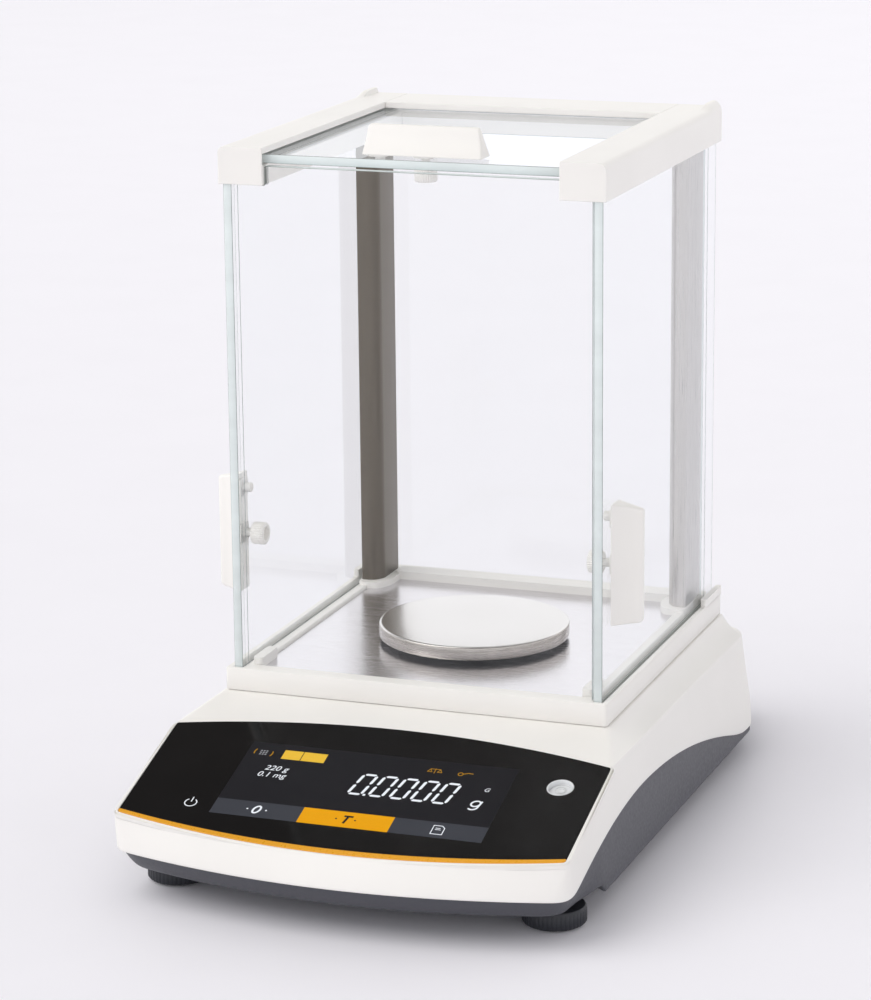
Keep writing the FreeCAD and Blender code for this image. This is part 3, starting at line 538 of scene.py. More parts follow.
def section(level):
    """The four outline values at a level, on a smooth curve through the named levels."""
    last = len(LEVELS) - 2
    k = max(i for i in range(last + 1) if i == 0 or level >= LEVELS[i])
    share = (level - LEVELS[k]) / (LEVELS[k + 1] - LEVELS[k])

    def slope(i, n):
        low, high = max(i - 1, 0), min(i + 1, last + 1)
        return (OUTLINES[high][n] - OUTLINES[low][n]) / (LEVELS[high] - LEVELS[low])

    run = LEVELS[k + 1] - LEVELS[k]
    t2, t3 = share ** 2, share ** 3
    return [
        OUTLINES[k][n] * (2 * t3 - 3 * t2 + 1) + OUTLINES[k + 1][n] * (3 * t2 - 2 * t3)
        + run * (slope(k, n) * (t3 - 2 * t2 + share) + slope(k + 1, n) * (t3 - t2))
        for n in range(4)
    ]


def slope_level(y):
    return SLOPE_LEVEL + (y - SLOPE_FRONT) * math.tan(SLOPE_ANGLE)


def on_slope(x, run, lift=0.0):
    return SLOPE @ Vector((x, run, lift))


def outline(kind, share, level, inset=0.0):
    """A point of the casing's right half at a level, named by its stretch and share along it."""
    front_half, back_half, front, corner = section(level)
    front_half -= inset
    back_half -= inset
    front += inset
    corner += inset
    back = BACK - inset
    turn = mix(8.0, 3.2, smoothstep(LIP, 38, level))

    def on_front(x):
        return Vector((x, front + (corner - front) * (x / front_half) ** 2))

    def on_side(y):
        return Vector((mix(front_half, back_half, (y - corner) / (SHOULDER_BACK - corner)), y))

    shoulder = Vector((back_half, SHOULDER_BACK))
    tail = Vector((back_half - TAPER, back))
    round_back = 6.0
    tail_start = tail + (shoulder - tail).normalized() * round_back
    tail_end = tail - Vector((round_back, 0))
    if kind == "front":
        flat = on_front(share * (front_half - turn))
    elif kind == "corner":
        flat = bezier(on_front(front_half - turn), Vector((front_half, corner)),
                      on_side(corner + turn), share)
    elif kind == "side":
        flat = on_side(mix(corner + turn, SHOULDER_BACK, share))
    elif kind == "taper":
        flat = shoulder.lerp(tail_start, share)
    elif kind == "tail":
        flat = bezier(tail_start, tail, tail_end, share)
    else:
        flat = Vector((tail_end.x * share, back))
    return Vector((flat.x, flat.y, level))


def box_top(y):
    """Level of the top behind the plinth, falling towards the sockets."""
    return mix(BOX_TOP, TAIL_TOP, (y - SHOULDER_BACK - 4) / (BACK - SHOULDER_BACK - 4))


def crease_level(y):
    """Level of the crease between the shoulder and the side wall."""
    corner = on_slope(GLASS_HALF, GLASS_RUN)
    return corner.z - 2.8 * (y - corner.y) / (SHOULDER_BACK - corner.y)


def top_level(kind, share):
    """Level of the wall's upper edge: on the display's plane, along the crease, round the box."""
    if kind in ("taper", "tail", "rear"):
        y = outline(kind, share, TAIL_TOP).y
        return mix(crease_level(SHOULDER_BACK), box_top(y) - EDGE_DROP, smoothstep(0, 0.3, share)
                   if kind == "taper" else 1)
    level = 45.0
    for _ in range(8):
        y = outline(kind, share, level).y
        level = min(slope_level(y), crease_level(y))
    return level


def arch_level(y):
    """Level of the white casing's lower edge."""
    def bowed(y0, z0, y1, z1, bow):
        share = (y - y0) / (y1 - y0)
        return mix(z0, z1, share) + 4 * bow * share * (1 - share)

    if y < ARCH_FRONT:
        return mix(LIP, LIP + 1.7, smoothstep(FRONT + 17, ARCH_FRONT, y))
    if y < ARCH_CROWN:
        return bowed(ARCH_FRONT, LIP + 1.7, ARCH_CROWN, 39.8, 3.4)
    if y < ARCH_BACK:
        return bowed(ARCH_CROWN, 39.8, ARCH_BACK, SKIRT, 6.6)
    return SKIRT


def low_level(kind, share, drop=0.0):
    level = 20.0
    for _ in range(6):
        level = arch_level(outline(kind, share, level).y) + drop
    return level


DISPLAY_SHARE = 0.21
FRONT_COLUMNS = [("front", u) for u in (0, 0.14, 0.28, 0.42, 0.56, 0.7, 0.83, 0.93, 1)]
CORNER_COLUMNS = [("corner", t) for t in (0.25, 0.5, 0.75)]
DISPLAY_COLUMNS = [("side", DISPLAY_SHARE * q) for q in (0, 0.08, 0.25, 0.5, 0.75, 0.95, 1)]
SIDE_STEPS = (0.02, 0.06, 0.12, 0.2, 0.3, 0.4, 0.5, 0.6, 0.7, 0.8, 0.88, 0.94, 0.98, 1)
SIDE_COLUMNS = [("side", mix(DISPLAY_SHARE, 1, q)) for q in SIDE_STEPS]
TAPER_COLUMNS = [("taper", q) for q in (0.03, 0.08, 0.15, 0.3, 0.55, 0.8, 0.94, 1)]
TAIL_COLUMNS = [("tail", 0.25), ("tail", 0.5)]
PROFILE_ROWS = (0, 0.1, 0.3, 0.5, 0.7, 0.86)


def seat_point(kind, share):
    """The inner edge of the rim round the display and its stripe, as x and run up the slope."""
    half = GLASS_HALF + SEAT_GAP
    turn = 1.6

    def low_run(x):
        return -STRIPE_DROP - SEAT_GAP - STRIPE_BOW * (1 - (x / half) ** 2)

    if kind == "front":
        x = share * (half - turn)
        return Vector((x, low_run(x)))
    corner = Vector((half, low_run(half)))
    start = Vector((half - turn, low_run(half - turn)))
    end = corner + Vector((0, turn))
    if kind == "corner":
        return bezier(start, corner, end, share)
    return Vector((half, mix(end.y, GLASS_RUN + SEAT_GAP, share / DISPLAY_SHARE)))


def top_edge(kind, share, inset=0.0):
    return outline(kind, share, top_level(kind, share), inset)


def profile(q):
    """A line of points from the deck's edge out to the crease, at share q along the shoulder."""
    crease = top_edge("side", mix(DISPLAY_SHARE, 1, q))
    deck = Vector((DECK_HALF, mix(DECK_FRONT, SHOULDER_BACK, q), DECK))
    corner = on_slope(GLASS_HALF + SEAT_GAP, GLASS_RUN + SEAT_GAP)
    hollow = Vector((DECK_HALF + 3.0, mix(deck.y, crease.y, 0.4), DECK - 6.0))
    lean = smoothstep(0, 0.3, q)
    bend = (deck + crease).lerp(hollow * 2, lean) / 2
    near = [crease + (bend - crease).normalized() * back for back in (3.2, 1.0)]
    near[0] = corner.lerp(near[0], smoothstep(0, 0.02, q))
    end = near[0]
    points = [bezier(deck, bend, end, share) for share in PROFILE_ROWS]
    return points + near + [crease]


def casing_cage():
    bm = bmesh.new()
    walls = FRONT_COLUMNS + CORNER_COLUMNS + DISPLAY_COLUMNS + SIDE_COLUMNS + TAPER_COLUMNS
    walls += TAIL_COLUMNS
    shoulder = profile(1)
    across = [p.x / shoulder[-1].x for p in reversed(shoulder)]
    across += [across[-1] * share for share in (0.97, 0.8, 0.6, 0.4, 0.2, 0)]
    walls += [("tail", 0.75), ("tail", 1)] + [("rear", share) for share in across[3:]]

    # outer wall, from the rim or crease down to the lower edge and a little way in under it
    columns = []
    for kind, share in walls:
        top = top_level(kind, share)
        low = low_level(kind, share)
        levels = [top, top - EDGE] + [mix(top, low, s) for s in (0.2, 0.4, 0.6, 0.8)]
        column = [outline(kind, share, z) for z in levels + [low + EDGE]]
        column.append(outline(kind, share, low + 0.1, inset=0.25))
        column.append(outline(kind, share, low, inset=1.0))
        column.append(outline(kind, share, low, inset=2.0))
        columns.append(column)
    add_grid(bm, columns)

    # rim and seat round the display
    rim = []
    for kind, share in FRONT_COLUMNS + CORNER_COLUMNS + DISPLAY_COLUMNS:
        x, run = seat_point(kind, share)
        outer = top_edge(kind, share)
        inner = on_slope(x, run)
        rim.append([outer, outer.lerp(inner, 0.4), inner, on_slope(x, run, -0.5),
                    on_slope(x, run, -SEAT_DEEP)])
    add_grid(bm, rim)

    # front of the deck, from the display's upper edge to the plinth
    shares = (0, 0.2, 0.4, 0.6, 0.75, 0.87, 0.95, 1)
    first = profile(0)
    deck_front, seat_top = [], []
    for u in shares:
        x = u * (GLASS_HALF + SEAT_GAP)
        run = GLASS_RUN + SEAT_GAP + GLASS_TOP_BOW * (1 - u ** 2)
        low = on_slope(x, run)
        high = Vector((u * DECK_HALF, DECK_FRONT, DECK))
        bend = on_slope(x, run + (GLASS_RUN * 0.18)) * 0.5 + high * 0.5
        bend.x = (low.x + high.x) / 2
        bend = bend.lerp((low + high) / 2, u ** 6)
        column = [bezier(high, bend, low, share) for share in PROFILE_ROWS] + [low]
        deck_front.append(first[:-2] if u == 1 else column)
        seat_top.append([low, on_slope(x, run, -0.5), on_slope(x, run, -SEAT_DEEP)])
    add_grid(bm, deck_front)
    add_grid(bm, seat_top)

    # shoulder beside the plinth
    lines = [profile(q) for q in (0, *SIDE_STEPS)]
    add_grid(bm, lines)

    # low box behind the plinth
    rows = [list(reversed(shoulder)) + [Vector((share * shoulder[-1].x, SHOULDER_BACK, DECK))
                                        for share in across[len(shoulder):]]]
    for kind, share in TAPER_COLUMNS + TAIL_COLUMNS[:-1]:
        edge = top_edge(kind, share)
        flat = smoothstep(SHOULDER_BACK, SHOULDER_BACK + 5, edge.y)
        row = []
        for c, part in enumerate(across):
            crown = mix(edge.z, edge.z + EDGE_DROP, min(1, c / 2))
            row.append(Vector((edge.x * part, edge.y, mix(rows[0][c].z, crown, flat))))
        rows.append(row)
    close = [mix(p.y, BACK - 1.5, 0.8) for p in rows[-1]]
    rows[-1] = [rows[-1][0]] + [Vector((p.x, y, p.z)) for p, y in zip(rows[-1][1:], close[1:])]
    last = [top_edge("tail", 0.5), top_edge("tail", 0.75), top_edge("tail", 1)]
    last += [top_edge("rear", share) for share in across[3:]]
    rows.append(last)
    add_grid(bm, rows)

    # deck under the plinth, round the hole for the pan's stem
    pan_y = node_middle("pan").y
    hole = 14.0
    loop = [column[0] for column in deck_front] + [line[0] for line in lines[1:]]
    loop += rows[0][len(shoulder):]
    inner, ring = [], []
    for point in loop:
        pull = Vector((point.x, point.y - pan_y, 0))
        inner.append(point - pull * 0.012)
        ring.append(Vector((0, pan_y, DECK)) + pull.normalized() * hole)
    add_grid(bm, [loop, inner, ring])
    mirror_over_middle(bm)
    return bm


def cut_socket_openings(shell):
    """Cuts the rear wall open round the three sockets."""
    bm = bmesh.new()
    for name in ("power_socket", "usb_socket", "serial_socket"):
        low, high = node_box(name)
        prism(bm, rounded(box_points(low[0], high[0], low[2], high[2]), 1.0, 3), -BACK - 4, -BACK + 6)
    cutter = from_bmesh("cutter", bm, ["white"], STAND["front"], smooth=False)
    cut = shell.modifiers.new("socket_openings", "BOOLEAN")
    cut.operation = "DIFFERENCE"
    cut.solver = "EXACT"
    cut.object = cutter
    cut_mesh = evaluated_mesh(shell)
    shell.modifiers.clear()
    shell.data = cut_mesh
    bpy.data.objects.remove(cutter)


def upper_casing():
    shell = from_bmesh("casing_shell", casing_cage(), ["white"])
    subdivide(shell)
    wall = shell.modifiers.new("wall", "SOLIDIFY")
    wall.thickness = 1.6 * MM
    wall.offset = -1
    cut_socket_openings(shell)
    finish_piece(shell, root, ["upper_casing"])


def lower_casing():
    """The slate tray: a wall below the arch that leans in at the front, and a stepped floor."""
    floor = node_box("lower_casing")[0][2]
    step_back, step_high = -111.0, 5.0
    bm = bmesh.new()
    walls = FRONT_COLUMNS + CORNER_COLUMNS
    walls += [("side", s) for s in (0, 0.04, 0.08, 0.12, 0.134, 0.1375, 0.154, 0.1575, 0.17, 0.2,
                                    0.25, 0.35, 0.45, 0.55, 0.65, 0.75, 0.85, 0.93, 0.98, 1)]
    walls += TAPER_COLUMNS + TAIL_COLUMNS + [("tail", 0.75), ("tail", 1)]
    walls += [("rear", share) for share in (0.9, 0.7, 0.5, 0.25, 0)]
    columns = []
    for kind, share in walls:
        rim = low_level(kind, share)
        y = outline(kind, share, floor).y
        bottom = floor + step_high * (1 - smoothstep(step_back - 5, step_back, y))
        lean = 5.0 * (1 - smoothstep(-152, -112, y))
        column = [outline(kind, share, mix(rim + 2, bottom, s), inset=0.7 + lean * s)
                  for s in (0, 0.25, 0.5, 0.75)]
        column.append(outline(kind, share, bottom + 1.2, inset=0.8 + lean * 0.93))
        for inset in (1.6, 3.2, 8.0):
            point = outline(kind, share, bottom + 1, inset=inset + lean)
            column.append(Vector((point.x, point.y, bottom)))
        end = column[-1]
        column += [Vector((end.x * s, end.y, bottom)) for s in (0.66, 0.33, 0)]
        columns.append(column)
    add_grid(bm, columns)
    mirror_over_middle(bm)
    tray = from_bmesh("base_tray", bm, ["slate"])
    subdivide(tray)
    finish_piece(tray, root, ["lower_casing"])


# ---------------------------------------------------------------- display
# the round window over the level, on the display's slope
LEVEL_X = 85.2
LEVEL_RUN = 49.0
LEVEL_RADIUS = 6.05


def bowed_line(run, bow, start, end, steps=28, half=GLASS_HALF):
    """Points across the slope from x = start to x = end, bowed up (or down) in the middle."""
    xs = [mix(start, end, i / steps) for i in range(steps + 1)]
    return [(x, run + bow * (1 - (x / half) ** 2)) for x in xs]


def display():
    """The black glass with its round window, and the amber stripe along its lower edge."""
    half = GLASS_HALF - 0.6
    low = bowed_line(0, -GLASS_LOW_BOW, -half, half)
    high = bowed_line(GLASS_RUN, GLASS_TOP_BOW, half, -half)
    edge = [(GLASS_HALF, 0.5), (GLASS_HALF, GLASS_RUN - 0.6)]
    edge_left = [(-x, run) for x, run in reversed(edge)]
    window = circle(LEVEL_X, LEVEL_RUN, LEVEL_RADIUS)
    glass = plate("display_cover", [low + edge + high + edge_left, window], -3.0, 0.0, SLOPE,
                  ["black_glass"], bevel=0.25)
    finish_piece(glass, root, ["display_glass"])

    tip = GLASS_HALF - 1.4
    below = bowed_line(-STRIPE_DROP, -STRIPE_BOW, -tip, tip)
    above = bowed_line(-0.1, -GLASS_LOW_BOW, GLASS_HALF - 0.1, -GLASS_HALF + 0.1)
    right = [(GLASS_HALF - 0.4, -STRIPE_DROP + 0.5), (GLASS_HALF, -STRIPE_DROP + 1.2)]
    left = [(-x, run) for x, run in reversed(right)]
    stripe = plate("amber_trim", [below + right + above + left], -2.0, 0.15, SLOPE, ["amber"], 0.3)
    finish_piece(stripe, root, ["accent_stripe"])


# ---------------------------------------------------------------- glass panes
PANE_MATERIALS = ["pane", "pane_edge", "pane_arris"]
# the slots of the left and right panes, as distances from the middle
SLOT_INNER, SLOT_OUTER = 84.0, 88.8
SLOT_FRONT = -62.6
# the grooves of the top pane
GROOVE_LOW, GROOVE_HIGH = 312.1, 317.0
# how far the raised lip stands over the rails' flat tops
LIP_RISE = 2.4
# which way a pane's own x, y and thickness point
STAND = {
    "side": Matrix(((0, 0, 1, 0), (1, 0, 0, 0), (0, 1, 0, 0), (0, 0, 0, 1))),
    "front": Matrix(((1, 0, 0, 0), (0, 0, -1, 0), (0, 1, 0, 0), (0, 0, 0, 1))),
    "flat": Matrix.Identity(4),
}


def pane(name, corners, low, high, stand, body, replaced, holes=()):
    outlines = [rounded(corners, 0.6, 2)] + [circle(*hole, 20) for hole in holes]
    span = sorted((low, high)) if stand != "front" else sorted((-low, -high))
    sheet = plate(name, outlines, *span, STAND[stand], PANE_MATERIALS, bevel=0.22)
    turn = STAND[stand].to_3x3().inverted()
    for face in sheet.data.polygons:
        flat = turn @ (face.center / MM)
        if any((Vector((x, y)) - flat.xy).length < radius + 0.5 for x, y, radius in holes):
            face.material_index = 0
    finish_piece(sheet, body, [replaced])


def panes():
    for side in ("left", "right"):
        low, high = node_box(side + "_pane")
        holes = [(spot.y, spot.z, PANE_HOLE) for spot in handle_spots(side)]
        corners = box_points(low[1], high[1], low[2], high[2])
        pane(side + "_door_glass", corners, low[0], high[0], "side", side + "_door",
             side + "_pane", holes)
    low, high = node_box("front_pane")
    neck, neck_level = high[0] - 14.9, node_box("rail_right")[0][2] - 0.1
    corners = [(low[0], low[2]), (high[0], low[2]), (high[0], neck_level), (neck, neck_level),
               (neck, high[2]), (-neck, high[2]), (-neck, neck_level), (low[0], neck_level)]
    pane("front_glass", corners, low[1], high[1], "front", root, "front_pane")
    low, high = node_box("rear_pane")
    corners = box_points(low[0], high[0], low[2], high[2])
    pane("rear_glass", corners, low[1], high[1], "front", root, "rear_pane")
    low, high = node_box("top_pane")
    holes = [(spot.x, spot.y, PANE_HOLE) for spot in handle_spots("top")]
    corners = box_points(low[0], high[0], low[1], high[1])
    pane("top_door_glass", corners, low[2], high[2], "flat", "top_door", "top_pane", holes)


def rear_bridge():
    """The low bar behind the top pane, and the flat bridge over it that the top handle stops at."""
    low, high = node_box("rear_crossbar")
    rail_high = node_box("rail_right")[1]
    top, front = rail_high[2] - LIP_RISE, 91.4
    bm = bmesh.new()
    prism(bm, box_points(low[0], high[0], low[1], high[1]), low[2], high[2])
    prism(bm, box_points(low[0], high[0], front, rail_high[1]), GROOVE_HIGH, top)
    bridge = from_bmesh("rear_bridge", bm, ["white"], smooth=False)
    soften(bridge, 0.5)
    finish_piece(bridge, root, ["rear_crossbar"])


def rails():
    """The two top rails: slots for the moving panes, a closed front end and a raised lip at the rear."""
    cap_front, cap_back, hump_rise = -63.4, -62.2, 2.3
    for side, sign in (("left", -1), ("right", 1)):
        low, high = node_box("rail_" + side)
        inner, outer = sorted((abs(low[0]), abs(high[0])))
        floor, top, back = low[2], high[2] - LIP_RISE, high[1]
        corner = 3.0
        arc = [(outer - corner * (1 - math.cos(a)), top - corner * (1 - math.sin(a)))
               for a in [math.radians(18 * k) for k in range(6)]]
        bm = bmesh.new()
        rows = []
        for y in (cap_front, cap_back, cap_back, 103.0, 105.0, 107.0, 109.5, 112.0, back):
            slotted = len(rows) >= 2
            deep = 2.3 if slotted else 0.0
            wide = 4.4 if slotted else 0.0
            lift = hump_rise * smoothstep(103.0, 112.0, y)
            lip = [(x, z + lift * k / 5) for k, (x, z) in enumerate(arc)]
            points = [(inner, floor), (SLOT_INNER, floor), (SLOT_INNER, floor + deep),
                      (SLOT_OUTER, floor + deep), (SLOT_OUTER, floor), (outer, floor), *lip,
                      (SLOT_INNER + 1.0, top + lift), (SLOT_INNER + 0.3, top), (inner, top),
                      (inner, GROOVE_HIGH), (inner + wide, GROOVE_HIGH), (inner + wide, GROOVE_LOW),
                      (inner, GROOVE_LOW)]
            rows.append([Vector((sign * x, y, z)) for x, z in points])
        add_tube(bm, rows)
        rail = from_bmesh(side + "_top_rail", bm, ["white"])
        sharpen(rail, 30)
        soften(rail, 0.6, 3)
        finish_piece(rail, root, ["rail_" + side])


PIN_OFFSET = 21.4
PIN_RADIUS = 2.2
PANE_HOLE = 2.3
# how each door's handle stands: its length, and the way out of the glass
HANDLE_AXES = {
    "left": (Vector((0, 0, 1)), Vector((-1, 0, 0))),
    "right": (Vector((0, 0, 1)), Vector((1, 0, 0))),
    "top": (Vector((-1, 0, 0)), Vector((0, 0, 1))),
}


def handle_spots(door):
    """The middle of a door's thumb screw, and its handle's locating pin."""
    screw = node_middle(door + "_thumb_screw")
    return screw, screw + HANDLE_AXES[door][0] * PIN_OFFSET


# along a handle from its screw: where it starts and ends by the glass, and along its ridge
HANDLE_ENDS = {
    "left": (-27.8, 28.0, -27.2, 25.2),
    "right": (-27.8, 28.0, -27.2, 25.2),
    "top": (-28.0, 28.0, -24.4, 27.6),
}
HANDLE_GAP = 0.8


def handle(door):
    """A hollow-faced grip that leans back to a ridge, on thin pads, with a locating pin."""
    low, high = node_box(door + "_handle")
    length, out = HANDLE_AXES[door]
    screw, pin = handle_spots(door)
    rise_at = [(low, high)[out[i] > 0][i] for i in range(3)]
    front, rear, ridge, rise = -6.0, 6.2, 3.1, 13.6
    base = screw.copy()
    for i in range(3):
        if out[i]:
            base[i] = rise_at[i] - out[i] * rise
    foot_low, foot_high, ridge_low, ridge_high = HANDLE_ENDS[door]
    round_low, round_high = (0.6, 1.9) if door == "top" else (2.2, 0.6)
    bm = bmesh.new()
    rings = []
    for share in (0, 0.03, 0.12, 0.25, 0.4, 0.55, 0.7, 0.8, 0.87, 0.92, 0.96, 0.985, 1):
        tip = 1 - math.sqrt(1 - max(0.0, (share - 0.82) / 0.18) ** 2 * 0.999)
        foot = 0.35 * (1 - smoothstep(0, 0.03, share))
        start = mix(foot_low, ridge_low, share) + round_low * tip + foot
        end = mix(foot_high, ridge_high, share) - round_high * tip - foot
        face = mix(front, ridge - 1.5, share) + 1.1 * math.sin(math.pi * share) + 0.9 * tip + foot
        back = mix(rear, ridge + 1.5, share) - 0.4 * math.sin(math.pi * share) - 0.9 * tip - foot
        corners = [(start, face), (end, face), (end, back), (start, back)]
        radius = min(mix(0.9, 1.5, share), (back - face) * 0.45)
        rings.append([Vector((x, y, mix(HANDLE_GAP, rise, share)))
                      for x, y in rounded(corners, radius, 4)])
    add_tube(bm, rings)
    offset = (pin - screw).length
    for middle, half in ((0, 4.6), (offset, 4.4)):
        pad = box_points(middle - half, middle + half, -4.8, 4.8)
        prism(bm, rounded(pad, 2.0, 4), 0, HANDLE_GAP + 0.2)
    pin_long = 4.0
    peg = [(0, 0.3), (PIN_RADIUS, 0.3), (PIN_RADIUS, 0.3 - pin_long), (PIN_RADIUS - 0.4, -pin_long),
           (0, -pin_long)]
    bm.transform(Matrix.Translation((-offset, 0, 0)))
    add_turned(bm, peg, 32)
    bm.transform(Matrix.Translation((offset, 0, 0)))
    place = standing(length, (0, 1, 0), out, base)
    grip = from_bmesh(door + "_door_handle", bm, ["white"], place)
    sharpen(grip, 40)
    finish_piece(grip, door + "_door", [door + "_handle"])


def thumb_screw(door):
    """A knurled knob with a hollow end, on a shank that goes through the glass into the handle."""
    low, high = node_box(door + "_thumb_screw")
    out = HANDLE_AXES[door][1]
    long = sum(abs(out[i]) * (high[i] - low[i]) for i in range(3))
    knob, radius, shank = 6.5, 5.0, 1.95
    start = handle_spots(door)[0] + out * long / 2
    head = long - knob
    profile = [(0, 0), (shank - 0.4, 0), (shank, 0.4), (shank, head), (radius - 0.6, head),
               (radius, head + 0.5), (radius, long - 0.7), (radius - 0.5, long - 0.1),
               (radius - 0.9, long), (radius - 1.5, long), (radius - 1.8, long - 0.3),
               (radius - 1.9, long - 2.6), (0, long - 2.6)]

    def ribs(turn, k):
        return 1 + 0.03 * math.cos(30 * turn) if 4 <= k <= 7 else 1

    screw = lathe(door + "_knurled_screw", profile, along(-out, start), ["white"], 240, ribs)
    sharpen(screw, 50)
    finish_piece(screw, door + "_screw", [door + "_thumb_screw"])


def weighing_pan():
    """A pressed pan: a flat top brushed one way, a rolled edge and a rim brushed round, its underside and
    inner walls darkened as painted shade.
    """
    low, high = node_box("pan")
    radius = (high[0] - low[0]) / 2
    top, bottom, sheet = high[2], low[2] - 1.1, 1.0
    profile = [(0, top), (radius - 25, top), (radius - 1.5, top), (radius - 0.7, top - 0.08),
               (radius - 0.2, top - 0.35), (radius, top - 0.9), (radius, bottom + 0.35),
               (radius - 0.15, bottom), (radius - sheet + 0.1, bottom),
               (radius - sheet, bottom + 0.4), (radius - sheet, top - 2), (radius - 2, top - sheet),
               (0, top - sheet)]
    middle = Vector((*node_middle("pan").xy, 0))
    place = Matrix.Translation(middle)
    disc = lathe("steel_pan", profile, place, ["pan_steel", "pan_rim", "pan_shade"], 128)
    # top faces get the top steel, outward faces the rim steel, and the inner walls and underside a darker
    # steel as painted shade
    for face in disc.data.polygons:
        outwards = (face.center.xy - middle.xy * MM).dot(face.normal.xy) > 0
        face.material_index = 0 if face.normal.z > 0.7 else 1 if outwards else 2
    sharpen(disc, 50)
    finish_piece(disc, "weighing_pan", ["pan"])


def feet():
    """Levelling wheels with a ribbed edge for the fingers."""
    for side in ("left", "right"):
        node = "front_" + side + "_foot"
        low, high = node_box(node)
        radius = (high[0] - low[0]) / 2
        profile = [(0, low[2]), (radius - 1.4, low[2]), (radius - 0.6, low[2] + 0.4),
                   (radius, low[2] + 1.2), (radius, high[2] - 1.6), (radius - 0.3, high[2] - 1.2),
                   (radius - 0.3, high[2] - 0.7), (radius - 0.8, high[2]), (0, high[2])]

        def ribs(turn, k):
            return 1 - 0.022 * abs(math.sin(22 * turn)) ** 6 if 2 <= k <= 4 else 1

        place = Matrix.Translation((*node_middle(node).xy, 0))
        wheel = lathe(side + "_levelling_wheel", profile, place, ["foot"], 264, ribs)
        sharpen(wheel, 40)
        finish_piece(wheel, side + "_foot", [node])


def level_window():
    """The bull's-eye level under its round window: a domed vial, its ring and its bubble."""
    ring = LEVEL_RADIUS - 0.05
    cup = [(ring, -3.0), (ring, -0.25), (ring - 0.35, -0.1), (ring - 0.7, -0.35), (ring - 0.7, -1.9)]
    dome = [((ring - 0.7) * math.sin(a), -2.9 + 1.2 * math.cos(a)) for a in
            [math.radians(angle) for angle in (90, 75, 60, 45, 30, 15, 0)]]
    middle = Matrix.Translation((LEVEL_X, LEVEL_RUN, 0))
    vial = lathe("level_bubble_vial", cup + dome, SLOPE @ middle, ["vial"], 64)
    finish_piece(vial, root, ["level_vial"])
    mark = bmesh.new()
    ribbon(mark, circle(LEVEL_X, LEVEL_RUN, 2.4), 0.3, -1.8, -1.66, closed=True)
    ribbon(mark, circle(LEVEL_X + 0.5, LEVEL_RUN - 0.4, 1.5), 0.22, -1.75, -1.62, closed=True)
    circles = from_bmesh("level_rings", mark, ["vial_ring"], SLOPE)
    finish_piece(circles, root)


# ---------------------------------------------------------------- plinth and posts
POST_FRONT, POST_BACK = 89.0, 115.0


def post_outline(sign, grow=0.0):
    """The plan of a post: flat outside, rounded at its inner front corner."""
    outer, front_inner, back_inner = 83.8 + 0.4 * (grow > 0), 77.6 - grow, 73.7 - grow
    corners = [(sign * outer, POST_FRONT - grow), (sign * outer, POST_BACK),
               (sign * back_inner, POST_BACK), (sign * back_inner, POST_FRONT + 5.5),
               (sign * front_inner, POST_FRONT - grow)]
    return rounded(corners, [1.0 + grow * 0.4, 0.8, 0.8, 2.2 + 0.3 * grow, 2.6 + 0.3 * grow], 5)


def posts():
    # the left post's darker metal is a painted reflection of dark surroundings; the right post is plain
    # aluminium
    for side, sign, metal in (("left", -1, "post_painted_dark_reflection"), ("right", 1, "post_aluminium")):
        node = "post_" + side
        low, high = node_box(node)
        bm = bmesh.new()
        prism(bm, post_outline(sign), low[2], high[2] - 0.1)
        post = from_bmesh(side + "_rear_post", bm, [metal])
        sharpen(post, 40)
        soften(post, 0.3, 2, 60)
        finish_piece(post, root, [node])


def plinth():
    """The shield's white plinth: its rim, the panes' slots, post collars, guides and rear rail."""
    low, high = node_box("shield_plinth")
    half, front, back = high[0], low[1], high[1]
    floor, top = low[2], 79.0
    well_half, well_front, well_back = 79.6, -56.8, 108.0
    corners = [(-half, front), (half, front), (half, back)]
    for near, far in ((SLOT_OUTER, SLOT_INNER), (-SLOT_INNER, -SLOT_OUTER)):
        corners += [(near, back), (near, SLOT_FRONT), (far, SLOT_FRONT), (far, back)]
    corners.append((-half, back))
    outer = rounded(corners, [1.6, 1.6, 2.5, *[0.4] * 8, 2.5], 4)
    well = rounded(box_points(-well_half, well_half, well_front, well_back), 1.0, 3)
    rim = plate_mesh([outer, well], floor, top, 0.4)
    bm = bmesh.new()
    bm.from_mesh(rim)
    prism(bm, box_points(1 - half, half - 1, front + 1, back - 1), floor + 0.4, 75.6)
    prism(bm, box_points(-well_half - 1, well_half + 1, well_front - 1, well_back + 1), 75.0, 76.3)
    for sign in (-1, 1):
        block = box_points(*sorted((sign * (SLOT_OUTER + 0.1), sign * half)), 98.0, back)
        prism(bm, rounded(block, 0.8, 3), top - 0.6, 82.6)
        guide = box_points(*sorted((sign * (well_half - 2.6), sign * (well_half + 2.2))), -56.4, -37.0)
        prism(bm, rounded(guide, 2.0, 5), 76.4, 82.2)
        prism(bm, post_outline(sign, 4.2), 76.4, 80.6)
    prism(bm, rounded(box_points(-72.0, 72.0, well_back - 2.6, 114.8), 2.0, 4), 76.4, 81.6)
    thing = from_bmesh("shield_base", bm, ["white"], smooth=False)
    soften(thing, 0.7, 3, 60)
    finish_piece(thing, root, ["shield_plinth"])
    sheet_low, sheet_high = node_box("floor_plate")
    pan_y = node_middle("pan").y
    outline_points = box_points(-well_half + 0.3, well_half - 0.3, well_front + 0.3, well_back - 0.3)
    floor_mesh = plate("steel_floor", [outline_points, circle(0, pan_y, 13.2, 64)], sheet_low[2] + 0.05,
                       sheet_high[2], Matrix.Identity(4), ["floor_steel"], 0.15)
    finish_piece(floor_mesh, root, ["floor_plate"])


# ---------------------------------------------------------------- what the display shows
INK = 0.05
LEAN = 0.2
SCREEN = (-62.0, 63.7, 4.0, 58.5)
KEYS_TOP = 15.0
KEY_SPLIT = 21.0


